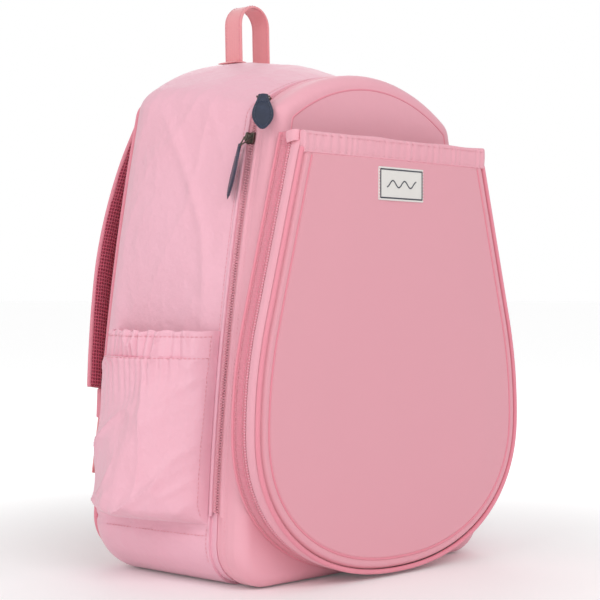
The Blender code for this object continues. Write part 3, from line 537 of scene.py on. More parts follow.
def ribbon(name, path, across, width, thickness, material, slots=(0, 0), extra=(), crown=0.5,
           count=18, dent=None):
    """A flat or padded band along 3-D points. across gives its width's way at each point."""
    along = np.gradient(path, axis=0)
    along /= np.linalg.norm(along, axis=1, keepdims=True)
    across = across - along * np.sum(across * along, axis=1, keepdims=True)
    across /= np.linalg.norm(across, axis=1, keepdims=True)
    face = np.cross(along, across)
    share = np.linspace(-1, 1, count)
    half = thickness / 2 * (1 - np.abs(share) ** 6 * (1 - crown))
    grids = []
    for sign, slot in ((1, slots[0]), (-1, slots[1])):
        lift = half[None, :] * sign
        if dent is not None and sign > 0:
            lift = lift + dent(np.arange(len(path))[:, None] / (len(path) - 1), share[None, :])
        lift = np.broadcast_to(lift, (len(path), count)).copy()
        lift[0, :] *= 0.3
        lift[-1, :] *= 0.3
        points = (path[:, None] + across[:, None] * share[None, :, None] * width / 2
                  + face[:, None] * lift[..., None])
        grids.append((points, spans(points, 1), spans(points, 0), False, slot))
    front, rear = grids[0][0], grids[1][0]
    for edge in (0, -1):
        rim = np.stack((front[:, edge], rear[:, edge]), axis=1)
        grids.append((rim, spans(rim, 1), spans(rim, 0), False, slots[0]))
        cap = np.stack((front[edge], rear[edge]), axis=0)
        grids.append((cap, spans(cap, 1), spans(cap, 0), False, slots[0]))
    return mesh_piece(name, grids, material, extra=extra)


def softened(name, node, bevel, material):
    """A copy of a hard or small node with rounded edges."""
    source = frame["nodes"][node]
    bm = bmesh.new()
    bm.from_mesh(source.data)
    bmesh.ops.remove_doubles(bm, verts=bm.verts, dist=1e-6)
    bmesh.ops.dissolve_limit(bm, angle_limit=0.02, verts=bm.verts, edges=bm.edges)
    layer = bm.loops.layers.uv.new("cut")
    for face in bm.faces:
        face.smooth = True
        for loop in face.loops:
            x, y, z = loop.vert.co
            flat = max(range(3), key=lambda k: abs(face.normal[k]))
            loop[layer].uv = ((y, z), (x, z), (x, y))[flat]
    mesh = bpy.data.meshes.new(name)
    bm.to_mesh(mesh)
    bm.free()
    mesh.materials.append(material)
    thing = bpy.data.objects.new(name, mesh)
    bpy.context.collection.objects.link(thing)
    edge = thing.modifiers.new("edge", "BEVEL")
    edge.width = bevel
    edge.segments = 2
    edge.limit_method = "ANGLE"
    settle(thing)
    thing.data.set_sharp_from_angle(angle=math.radians(50))
    return thing


def hand_over(piece, body, *nodes, slot):
    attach(piece, body)
    if nodes:
        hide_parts(*nodes)
    return piece


# ---- rows of small parts ----------------------------------------------------------------

def row_tree():
    """Geometry Nodes: sets one small item along a line, turned with it and with its surface."""
    tree = bpy.data.node_groups.new("row_of_items", "GeometryNodeTree")
    face = tree.interface
    face.new_socket("Line", in_out="INPUT", socket_type="NodeSocketGeometry")
    face.new_socket("Item", in_out="INPUT", socket_type="NodeSocketObject")
    face.new_socket("Spacing", in_out="INPUT", socket_type="NodeSocketFloat")
    face.new_socket("Finish", in_out="INPUT", socket_type="NodeSocketMaterial")
    face.new_socket("Row", in_out="OUTPUT", socket_type="NodeSocketGeometry")
    start = add_node(tree, "NodeGroupInput")
    curve = add_node(tree, "GeometryNodeMeshToCurve", links={0: start.outputs["Line"]})
    steps = add_node(tree, "GeometryNodeResampleCurve", links={"Curve": curve.outputs[0],
                     "Length": start.outputs["Spacing"]}, mode="LENGTH")
    along = add_node(tree, "GeometryNodeInputTangent")
    facing = add_node(tree, "GeometryNodeInputNamedAttribute", {"Name": "facing"},
                      data_type="FLOAT_VECTOR")
    first = add_node(tree, "FunctionNodeAlignRotationToVector", links={"Vector": along.outputs[0]},
                     axis="X")
    turned = add_node(tree, "FunctionNodeAlignRotationToVector",
                      links={"Rotation": first.outputs[0], "Vector": facing.outputs[0]},
                      axis="Z", pivot_axis="X")
    item = add_node(tree, "GeometryNodeObjectInfo", links={"Object": start.outputs["Item"]})
    put = add_node(tree, "GeometryNodeInstanceOnPoints",
                   links={"Points": steps.outputs[0], "Instance": item.outputs["Geometry"],
                          "Rotation": turned.outputs[0]})
    whole = add_node(tree, "GeometryNodeRealizeInstances", links={0: put.outputs[0]})
    finish = add_node(tree, "GeometryNodeSetMaterial",
                      links={"Geometry": whole.outputs[0], "Material": start.outputs["Finish"]})
    add_node(tree, "NodeGroupOutput", links={0: finish.outputs[0]})
    return tree


ITEMS = {}


def item(name, length, width, height, sides=6):
    """A small rounded bar along X with a few dozen faces: one stitch or one zip tooth."""
    if name in ITEMS:
        return ITEMS[name]
    share = np.array((-1.0, -0.8, -0.3, 0.3, 0.8, 1.0))
    swell = np.array((0.05, 0.65, 1.0, 1.0, 0.65, 0.05))
    turn = np.linspace(0, 2 * math.pi, sides + 1)[:-1]
    points = np.zeros((6, sides, 3))
    points[..., 0] = share[:, None] * length / 2
    points[..., 1] = swell[:, None] * np.cos(turn) * width / 2
    points[..., 2] = swell[:, None] * np.sin(turn) * height / 2
    u, v = around(points)
    thing = mesh_piece(name, [(points, u, v, True, 0)], MATERIALS["thread"])
    bpy.context.collection.objects.unlink(thing)
    ITEMS[name] = thing
    return thing


def row(name, lines, thing, spacing, material):
    """One piece with the item set along each (points, facing) line."""
    if "tree" not in ITEMS:
        ITEMS["tree"] = row_tree()
    bm = bmesh.new()
    face = bm.verts.layers.float_vector.new("facing")
    for points, facing in lines:
        verts = []
        for p, n in zip(points, np.broadcast_to(facing, (len(points), 3))):
            vert = bm.verts.new(p)
            vert[face] = Vector(n)
            verts.append(vert)
        for a, b in zip(verts, verts[1:]):
            bm.edges.new((a, b))
    mesh = bpy.data.meshes.new(name)
    bm.to_mesh(mesh)
    bm.free()
    piece = bpy.data.objects.new(name, mesh)
    bpy.context.collection.objects.link(piece)
    bpy.context.collection.objects.link(thing)
    nodes = piece.modifiers.new("row", "NODES")
    nodes.node_group = ITEMS["tree"]
    sockets = {s.name: s.identifier for s in ITEMS["tree"].interface.items_tree if s.in_out == "INPUT"}
    nodes[sockets["Item"]] = thing
    nodes[sockets["Spacing"]] = spacing
    nodes[sockets["Finish"]] = material
    settle(piece)
    bpy.context.collection.objects.unlink(thing)
    return piece


def stitches(name, lines, body, slot, material="thread", spacing=0.0036, length=0.0027, width=0.0007):
    bar = item(f"stitch_{round(length * 1e4)}_{round(width * 1e5)}", length, width, 0.0006)
    piece = row(name, lines, bar, spacing, MATERIALS[material])
    return hand_over(piece, body, slot=slot)


def on_edge(path, y):
    """A line on the edge of a shape, with its stitches facing out of the outline."""
    return at_depth(path, y), at_depth(outward(path), 0.0)


# ---- the bag's body ----------------------------------------------------------------------

def polar_fill(ring, rings, centre, lift):
    """Rings from a closed outline in to a centre. lift gives Y from share and XZ places."""
    shares = np.linspace(1, 0, rings + 1)
    shares[-1] = 0.002
    flat = centre + (ring - centre) * shares[:, None, None]
    y = lift(np.repeat(shares[:, None], len(ring), 1), flat[..., 0], flat[..., 1])
    return np.stack((flat[..., 0], y, flat[..., 1]), axis=2)


def side_relief(x, y, z):
    """Soft folds of the tub's cloth: more on the sides, few on roof and base."""
    side = ease(0.08, 0.14, np.abs(x)) * ease(0.02, 0.06, z)
    depth_in = ease(0.0, 0.02, y - FRONT - TUB_LIP) * ease(0.0, 0.02, BACK - y)
    u = y + np.sign(x) * 0.37
    folds = (creases(u, z, 0.20, 0.034, 74, 11) * 0.0058 + creases(u, z, 0.13, 0.022, 104, 23) * 0.0034
             + creases(u, z, 0.07, 0.013, 80, 31) * 0.0016)
    slack = drift(u / 0.07, z / 0.10, 5) * 0.0030
    top = ease(0.38, 0.43, z)
    roof = (creases(x, y, 0.12, 0.022, 15, 41) * 0.0016 + drift(x / 0.06, y / 0.05, 8) * 0.0008) * top
    return (side * (folds + slack - 0.0008) + roof) * depth_in


def make_tub():
    ys = np.concatenate((np.linspace(FRONT, FRONT + TUB_LIP, 4), np.linspace(FRONT + TUB_LIP, BACK -
                        BACK_CURVE, 50)))
    insets = np.where(np.arange(len(ys)) < 4, TAPE_RECESS, 0.0)
    turn = np.linspace(0, math.pi / 2, 12)[1:]
    ys = np.concatenate((ys, BACK - BACK_CURVE * (1 - np.sin(turn))))
    insets = np.concatenate((insets, BACK_ROUNDING * 1.1 * (1 - np.cos(turn))))
    points = []
    for y, inset in zip(ys, insets):
        loop = tub_loop(inset, y)
        normal = outward(loop, closed=True)
        loop = loop + normal * side_relief(loop[:, 0], y, loop[:, 1])[:, None]
        seam = groove(loop[:, 1] - BASE_SEAM, 0.0016) * (np.abs(loop[:, 0]) > 0.1)
        puff = groove(loop[:, 1] - BASE_SEAM - 0.006, 0.0035) * (np.abs(loop[:, 0]) > 0.1)
        loop = loop + normal * ((puff * 0.0008 - seam * 0.0016) * (y > FRONT + TUB_LIP))[:, None]
        loop[:, 1] = np.maximum(loop[:, 1], 0.0)
        points.append(at_depth(loop, y))
    points = np.array(points)
    u, v = around(points)
    wall = polar_fill(points[-1][:, [0, 2]], 26, np.array((0.0, 0.21)),
                      lambda s, x, z: np.full_like(s, ys[-1]))
    tub = mesh_piece("tub_cloth", [(points, u, v, True, 0), closed_fill(wall)], MATERIALS["light"],
                     thickness=0.0035, extra=(MATERIALS["lining"],))
    line_inside(tub)
    hand_over(tub, "bag", "main_tub", slot="nylon")
    lines = []
    y = np.linspace(FRONT + TUB_LIP + 0.003, BACK - 0.030, 60)
    z = np.full_like(y, BASE_SEAM - 0.0045)
    x = side_x(z, y)
    x = x + side_relief(x, y, z) - 0.0002
    for side in (1, -1):
        lines.append((np.column_stack((side * x, y, z)), (side, 0.0, 0.0)))
    edge_y = FRONT + TUB_LIP + 0.0030
    loop = tub_loop(0.0, edge_y)
    path = np.roll(loop, len(loop) // 2, axis=0)
    path = path[path[:, 1] > 0.02]
    path = np.roll(path, -int(np.argmax(np.linalg.norm(np.diff(path, axis=0), axis=1))) - 1, axis=0)
    lines.append((at_depth(path + outward(path) * 0.0001, edge_y), at_depth(outward(path), 0.0)))
    stitches("tub_stitches", lines, "bag", "nylon")


def closed_fill(points, slot=0):
    u = np.concatenate((points[..., 0], points[:, :1, 0]), axis=1)
    v = np.concatenate((points[..., 2], points[:, :1, 2]), axis=1)
    return points, u, v, True, slot


def line_inside(piece):
    """Gives the inner wall, which Solidify put in the second half of the faces, the lining."""
    faces = piece.data.polygons
    half = len(faces) // 2
    index = np.zeros(len(faces), dtype=np.int32)
    faces.foreach_get("material_index", index)
    centres = np.array([f.center for f in faces])
    normals = np.array([f.normal for f in faces])
    middle = np.array((0.0, centres[:, 1].mean(), 0.20))
    inner = np.sum((centres - middle) * normals, axis=1) < 0
    back = (np.arange(len(faces)) >= half * 0.98) & inner
    index[back] = 1
    faces.foreach_set("material_index", index)


def side_x(z, y):
    radius = SIDE_ARC + SWELL * fullness(y)
    return BODY_WIDTH / 2 - SIDE_ARC + np.sqrt(radius ** 2 - (z - SIDE_ARC_HEIGHT) ** 2)


def make_flap():
    rim = FRONT - SEAM_GAP
    recess_end = rim - TUB_LIP
    ys = [rim, rim - TUB_LIP / 2, recess_end + 1e-4, recess_end]
    insets = [TAPE_RECESS, TAPE_RECESS, TAPE_RECESS, 0.0]
    for y in np.linspace(recess_end, FLAP_FACE + FLAP_ROUNDING, 9)[1:]:
        ys.append(y)
        insets.append(0.0)
    for turn in np.linspace(0, math.pi / 2, 12)[1:]:
        ys.append(FLAP_FACE + FLAP_ROUNDING * (1 - math.sin(turn)))
        insets.append(FLAP_ROUNDING * (1 - math.cos(turn)))
    points = []
    for y, inset in zip(ys, insets):
        loop = body_loop(inset, FRONT_HEIGHT, SEAM_GAP)
        normal = outward(loop, closed=True)
        free = ease(0.0, 0.006, recess_end - y) * ease(0.02, 0.06, loop[:, 1])
        soft = (creases(loop[:, 0] + loop[:, 1], y + loop[:, 1] * 0.2, 0.05, 0.012, 70, 61) * 0.0005
                + drift(loop[:, 1] / 0.03, y / 0.02 + loop[:, 0] * 4, 62) * 0.0002)
        seam = groove(y - (recess_end - 0.0045), 0.0009) * 0.0006
        loop = loop + normal * (free * soft - seam)[:, None]
        loop[:, 1] = np.maximum(loop[:, 1], 0.0002)
        points.append(at_depth(loop, y))
    points = np.array(points)
    u, v = around(points)

    def crown(share, x, z):
        return FLAP_FACE - ease(0.372, 0.40, z) * (1 - share ** 6) * 0.002
    face = polar_fill(points[-1][:, [0, 2]], 30, np.array((0.0, 0.22)), crown)
    flap = mesh_piece("flap_cloth", [(points, u, v, True, 0), closed_fill(face)], MATERIALS["nylon"],
                      thickness=0.003, extra=(MATERIALS["lining"],))
    line_inside(flap)
    hand_over(flap, "front_flap", "front_flap", slot="nylon")
    edge = body_loop(0.0002, FRONT_HEIGHT, SEAM_GAP)
    lines = [on_edge(open_at_base(edge), recess_end - 0.0030)]
    stitches("flap_stitches", lines, "front_flap", "nylon")
    inner = open_at_base(body_loop(FLAP_ROUNDING + 0.002, FRONT_HEIGHT, SEAM_GAP))
    cord = at_depth(inner[inner[:, 1] > 0.30], FLAP_FACE + 0.0006)
    hand_over(tube("flap_face_piping", cord, 0.0011, MATERIALS["piping"], sides=8), "front_flap",
              slot="piping")


def open_at_base(loop):
    """The closed outline as an open path that begins and ends low on the sides."""
    n = len(loop)
    start = int(np.argmin(np.abs(loop[:n // 2, 1] - 0.03) + (loop[:n // 2, 0] < 0.1)))
    path = loop[start:n - start + 1]
    return path


def make_main_zip():
    """Tapes in their recess on both sides of the seam, coil teeth and the cloth of the foot."""
    loop = body_loop(TAPE_RECESS - 0.0008)
    path = open_at_base(loop)
    path = even(path[path[:, 1] >= ZIP_END], 420)
    normal = outward(path)
    tooth = item("coil_tooth", 0.0011, 0.0030, 0.0015, sides=6)
    for name, node, body, near, far, shift in (
            ("rear_tape", "main_zip_tape_rear", "bag", FRONT + 0.0003, FRONT + TAPE_WIDTH, 0.0),
            ("front_tape", "main_zip_tape_front", "front_flap", FRONT - SEAM_GAP - 0.0003,
             FRONT - SEAM_GAP - TAPE_WIDTH, 0.5)):
        rows = []
        for share in np.linspace(0, 1, 7):
            lift = 0.0006 * math.sin(math.pi * share) + 0.0002
            rows.append(at_depth(path + normal * lift, near + (far - near) * share))
        points = np.array(rows)
        piece = mesh_piece(name, [(points, spans(points, 1), spans(points, 0), False, 0)],
                           MATERIALS["main_tape"], thickness=0.0008)
        hand_over(piece, body, node, slot="zip_tape")
        outer = open_at_base(body_loop(-0.0006 if body == "bag" else 0.0))
        outer = even(outer[outer[:, 1] >= ZIP_END - 0.004], 420)
        away = outward(outer)
        sign = 1 if body == "bag" else -1
        fold = ((0.0085, -0.0004), (0.0068, 0.0005), (0.0056, 0.0009), (0.0046, 0.0006),
                (0.0041, -0.0002), (0.0044, -0.0014))
        seam = FRONT if body == "bag" else FRONT - SEAM_GAP
        lip = np.array([at_depth(outer + away * rise, seam + sign * off) for off, rise in fold])
        lip[..., 2] = np.maximum(lip[..., 2], 0.0)
        edge = mesh_piece(name.replace("tape", "lip"), [(lip, spans(lip, 1), spans(lip, 0), False, 0)],
                          MATERIALS["light" if body == "bag" else "nylon"], thickness=0.0006)
        hand_over(edge, body, slot="nylon")
        y = near + (far - near) * 0.10
        shifted = path + normal * 0.0012 + np.gradient(path, axis=0) * shift * 0.8
        teeth = row(name.replace("tape", "coil"), [(at_depth(shifted, y), at_depth(normal, 0.0))],
                    tooth, 0.0022, MATERIALS["coil"])
        hand_over(teeth, body, slot="zip_tape")
    foot = even(np.roll(body_loop(TAPE_RECESS + 0.001), len(loop) // 2, axis=0), 700)
    low = foot[foot[:, 1] < ZIP_END + 0.002]
    gap = int(np.argmax(np.linalg.norm(np.diff(low, axis=0), axis=1)))
    if np.linalg.norm(low[gap + 1] - low[gap]) > 0.02:
        low = np.roll(low, -gap - 1, axis=0)
    rows = [at_depth(low, y) for y in np.linspace(FRONT + 0.0015, FRONT - SEAM_GAP - 0.0015, 14)]
    points = np.array(rows)
    points[..., 2] = np.maximum(points[..., 2], 0.0006)
    foot_cloth = mesh_piece("foot_gusset", [(points, spans(points, 1), spans(points, 0), False, 0)],
                            MATERIALS["nylon"], thickness=0.0008)
    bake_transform(foot_cloth)


# ---- the racket sleeve ----------------------------------------------------------------------

def u_strip(name, near, far, inset, material, body, node, slot, bulge=0.0, lines=(), rows=9):
    path = sleeve_path(inset)
    normal = outward(path)
    grid = []
    for share in np.linspace(0, 1, rows):
        push = bulge * math.sin(math.pi * share)
        for place, depth in lines:
            push -= depth * math.exp(-((share - place) / 0.09) ** 2)
        grid.append(at_depth(path + normal * push, near + (far - near) * share))
    points = np.array(grid)
    piece = mesh_piece(name, [(points, spans(points, 1), spans(points, 0), False, 0)], material,
                       thickness=0.0016)
    return hand_over(piece, body, node, slot=slot)


def make_sleeve():
    piece = mesh_piece("sleeve_lining", [level_rows(sleeve_path(0.001), FLAP_FACE - SLEEVE_BACK, 20)],
                       MATERIALS["lining"], thickness=0.002)
    hand_over(piece, "front_flap", "sleeve_back_panel", slot="nylon")
    strip_back = FLAP_FACE - SLEEVE_BACK + 0.0016
    u_strip("sleeve_gusset", strip_back, TAPE_FACE, 0.0004, MATERIALS["tape"], "front_flap",
            "sleeve_zip_tape", "zip_tape", bulge=0.0006, lines=((0.22, 0.0004), (0.78, 0.0004)), rows=14)
    path = sleeve_path(-0.0002)
    stitches("gusset_stitches", [on_edge(path, strip_back - 0.0032), on_edge(path, TAPE_FACE + 0.0028)],
             "front_flap", "zip_tape")
    cord = at_depth(sleeve_path(0.0006), FLAP_FACE - 0.0012)
    hand_over(tube("sleeve_foot_piping", cord, 0.0014, MATERIALS["piping"], sides=8), "front_flap",
              slot="piping")
    tooth = item("coil_tooth", 0.0011, 0.0030, 0.0015)
    path = sleeve_path(0.0006)
    for name, body, y, shift in (("sleeve_coil_rear", "front_flap", TAPE_FACE + 0.0006, 0.0),
                                 ("sleeve_coil_front", "racket_cover", TAPE_FACE - SEAM_GAP - 0.0006, 0.5)):
        line = path + np.gradient(path, axis=0) * shift * 0.8
        teeth = row(name, [on_edge(line, y)], tooth, 0.0022, MATERIALS["coil"])
        hand_over(teeth, body, slot="zip_tape")
    u_strip("cover_gusset", TAPE_FACE - SEAM_GAP, COVER_BACK, 0.0004, MATERIALS["nylon"],
            "racket_cover", "cover_side_band", "nylon", bulge=0.0009)
    stitches("cover_gusset_stitches", [on_edge(path, TAPE_FACE - SEAM_GAP - 0.0026)], "racket_cover",
             "nylon")
    make_cover()
    make_band()
    make_label()


def level_rows(path, y, columns):
    """A flat grid over a mirror-image U, with a level row across it at each pair of places."""
    half = len(path) // 2 + 1
    left, right = path[:half], path[::-1][:half]
    share = np.linspace(0, 1, columns)
    x = left[:, None, 0] + (right - left)[:, None, 0] * share
    z = left[:, None, 1] + (right - left)[:, None, 1] * share
    return np.stack((x, np.full_like(x, y), z), axis=2), x, z, False, 0


def edge_distance(path, x, z):
    """Distance of each place from an open path."""
    flat = np.column_stack((x.ravel(), z.ravel()))
    start, step = path[:-1], np.diff(path, axis=0)
    size = np.sum(step ** 2, axis=1)
    best = np.full(len(flat), 9.0)
    for first in range(0, len(flat), 3000):
        away = flat[first:first + 3000, None] - start
        share = np.clip(np.sum(away * step, axis=2) / size, 0, 1)
        gap = np.linalg.norm(away - share[..., None] * step, axis=2)
        best[first:first + 3000] = gap.min(axis=1)
    return best.reshape(x.shape)


def cover_depth(distance, x, z):
    """Y of the padded cover: rolled edge, stitched line 8 mm in, then a soft crown."""
    roll = 1 - np.clip(1 - distance / 0.0045, 0, 1) ** 2.2
    line = groove(distance - STITCH_LINE, 0.0011)
    crown = ease(0.008, 0.060, distance)
    soft = drift(x / 0.055, z / 0.075, 71) * 0.0006 + drift(x / 0.02, z / 0.03, 72) * 0.00015
    full = 0.0046 * roll + 0.0011 * crown - line * 0.0011 + soft * ease(0.012, 0.04, distance)
    tucked = ease(SLEEVE_TOP - BAND_HEIGHT - 0.0010, SLEEVE_TOP - BAND_HEIGHT + 0.0025, z)
    full = np.minimum(full, 0.0058) * (1 - tucked) + 0.0026 * tucked
    return COVER_BACK - GAP - full


def make_cover():
    edge = sleeve_path(0.0032, SLEEVE_TOP - BAND_HEIGHT + 0.009)
    across = np.linspace(edge[-1], edge[0], 70)[1:-1]
    loop = np.vstack((edge, across))
    shares = np.concatenate((1 - np.arange(34) * 0.0042, np.linspace(0.8572, 0.002, 30)))
    flat = (0.0, 0.19) + (loop - (0.0, 0.19)) * shares[:, None, None]
    depth = cover_depth(edge_distance(edge, flat[..., 0], flat[..., 1]), flat[..., 0], flat[..., 1])
    points = np.stack((flat[..., 0], depth, flat[..., 1]), axis=2)
    cover = mesh_piece("cover_pad", [closed_fill(points)], MATERIALS["panel"], thickness=0.0022,
                       smooth=75)
    hand_over(cover, "racket_cover", "racket_cover", slot="nylon")
    piping_y = COVER_BACK - 0.0026
    path = sleeve_path(0.0010, SLEEVE_TOP - BAND_HEIGHT + 0.004)
    cord = tube("cover_edge_piping", at_depth(path, piping_y), 0.0021, MATERIALS["piping"], sides=12)
    hand_over(cord, "racket_cover", "cover_piping", slot="piping")
    inner = edge - outward(edge) * STITCH_LINE
    inner = inner[inner[:, 1] < SLEEVE_TOP - BAND_HEIGHT - 0.001]
    depth = float(cover_depth(np.array(STITCH_LINE), 0.1, 0.1))
    cord = tube("cover_inner_piping", at_depth(inner, depth - 0.0004), 0.0010, MATERIALS["piping"],
                sides=8)
    hand_over(cord, "racket_cover", slot="piping")


def make_band():
    """The gathered elastic band along the cover's top, with its tab at the left."""
    half = SLEEVE_MOUTH / 2 + 0.0035
    x = np.linspace(-half, half, 260)
    turn = np.linspace(0, 2 * math.pi, 29)[:-1]
    middle_y, middle_z = (COVER_FACE + COVER_BACK) / 2 - 0.0002, SLEEVE_TOP - BAND_HEIGHT / 2
    phase = x / 0.0085 * 2 * math.pi + 2.2 * drift(x / 0.017, x * 0, 81)
    pleat = np.abs(np.sin(phase / 2)) ** 1.5 * (0.6 + 0.4 * drift(x / 0.012, x * 0, 82))
    points = np.zeros((len(x), len(turn), 3))
    for k, t in enumerate(turn):
        c, s = math.cos(t), math.sin(t)
        flat_y = math.copysign(abs(c) ** 0.8, c)
        flat_z = math.copysign(abs(s) ** 0.35, s)
        shape = 1 if abs(s) < 0.95 else 0.6
        points[:, k, 0] = x
        points[:, k, 1] = middle_y + flat_y * (0.0026 + 0.0011 * pleat * shape)
        points[:, k, 2] = (middle_z + flat_z * BAND_HEIGHT / 2
                           + (0.0006 * drift(x / 0.03, x * 0, 83) * (s > 0)))
    pinch = np.exp(-((points[..., 2] - (SLEEVE_TOP - BAND_HEIGHT + 0.0026)) / 0.0011) ** 2)
    points[..., 1] += pinch * 0.0011
    points[0, :, 1:] = points[0, :, 1:].mean(0)
    points[-1, :, 1:] = points[-1, :, 1:].mean(0)
    u, v = around(points)
    band = mesh_piece("cover_band", [(points, v, u, True, 0)], MATERIALS["nylon"])
    hand_over(band, "racket_cover", "cover_top_band", slot="nylon")
    line = np.column_stack((x[4:-4], np.full(len(x) - 8, COVER_FACE + 0.0013),
                            np.full(len(x) - 8, SLEEVE_TOP - BAND_HEIGHT + 0.0026)))
    upper = line + (0, -0.0014, BAND_HEIGHT - 0.0060)
    stitches("band_stitches", [(line, (0, -1, 0)), (upper, (0, -1, 0))], "racket_cover", "nylon")
    tab = np.array([(-half + 0.002, COVER_BACK + 0.001, SLEEVE_TOP - 0.004),
                    (-half - 0.0015, COVER_BACK + 0.004, SLEEVE_TOP - 0.004),
                    (-half - 0.002, COVER_BACK + 0.010, SLEEVE_TOP - 0.005),
                    (-half - 0.001, COVER_BACK + 0.0125, SLEEVE_TOP - 0.006)])
    line = smooth_line(tab, 6)
    piece = ribbon("mouth_tab", line, np.broadcast_to((0.0, 0.0, 1.0), line.shape), 0.009, 0.0016,
                   MATERIALS["nylon"], count=10)
    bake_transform(piece)


def rounded_plate(name, width, height, thickness, radius, centre, material, hole=0.0):
    """A plate with round corners facing the front; with a hole it is a frame of that width."""
    corners = []
    for cx, cz, start in ((1, -1, -90), (1, 1, 0), (-1, 1, 90), (-1, -1, 180)):
        c = (cx * (width / 2 - radius), cz * (height / 2 - radius))
        corners.append(arc(c, radius, math.radians(start), math.radians(start + 90), 7))
    loop = np.vstack(corners)
    profile = [(0.0, 0.0), (0.0, 0.7), (0.12, 0.95), (0.3, 1.0)]
    rings = []
    for inset, lift in profile:
        moved = loop - outward(loop, closed=True) * inset * radius
        rings.append(at_depth(moved + (centre[0], centre[2]), centre[1] - thickness * lift))
    if hole:
        inner = loop - outward(loop, closed=True) * hole
        rings.append(at_depth(inner + (centre[0], centre[2]), centre[1] - thickness))
        rings.append(at_depth(inner + (centre[0], centre[2]), centre[1]))
        rings.append(rings[0])
    points = np.array(rings)
    grids = [closed_fill(points)]
    if not hole:
        middle = np.array((centre[0], centre[2]))
        grids.append(closed_fill(polar_fill(points[-1][:, [0, 2]], 4, middle,
                                            lambda s, x, z: np.full_like(s, centre[1] - thickness))))
        grids.append(closed_fill(polar_fill(points[0][:, [0, 2]], 2, middle,
                                            lambda s, x, z: np.full_like(s, centre[1]))))
    return mesh_piece(name, grids, material, smooth=40)


def make_label():
    z = SLEEVE_TOP - LABEL_DROP
    base_y = COVER_FACE - GAP + 0.0004
    centre = (0.0, base_y, z)
    plate = rounded_plate("label", LABEL_WIDTH, LABEL_HEIGHT, 0.0010, 0.0012, centre, MATERIALS["label"])
    hand_over(plate, "racket_cover", "label_patch", slot="label")
    border = rounded_plate("label_border", LABEL_WIDTH - 0.003, LABEL_HEIGHT - 0.003, 0.0003, 0.0010,
                           (0.0, base_y - 0.0009, z), MATERIALS["label_ink"], hole=0.0012)
    hand_over(border, "racket_cover", slot="label")
    wave = np.linspace(-0.019, 0.019, 60)
    line = np.column_stack((wave, np.full_like(wave, base_y - 0.0011),
                            z + 0.0028 * np.sin(wave / 0.019 * math.pi * 2.5)))
    hand_over(tube("label_wave", line, 0.0006, MATERIALS["label_ink"], sides=6, flat=0.5),
              "racket_cover", slot="label")
    sides = []
    for s in (-1, 1):
        x = np.full(12, s * (LABEL_WIDTH / 2 - 0.0007))
        zz = np.linspace(z - LABEL_HEIGHT / 2 + 0.002, z + LABEL_HEIGHT / 2 - 0.002, 12)
        sides.append((np.column_stack((x, np.full(12, base_y - 0.0011), zz)), (0, -1, 0)))
    stitches("label_stitches", sides, "racket_cover", "label", spacing=0.0024, length=0.0017,
             width=0.0005)


# ---- side pockets ------------------------------------------------------------------------------

def make_pockets():
    for side, word in ((-1, "left"), (1, "right")):
        make_pocket(side, word)


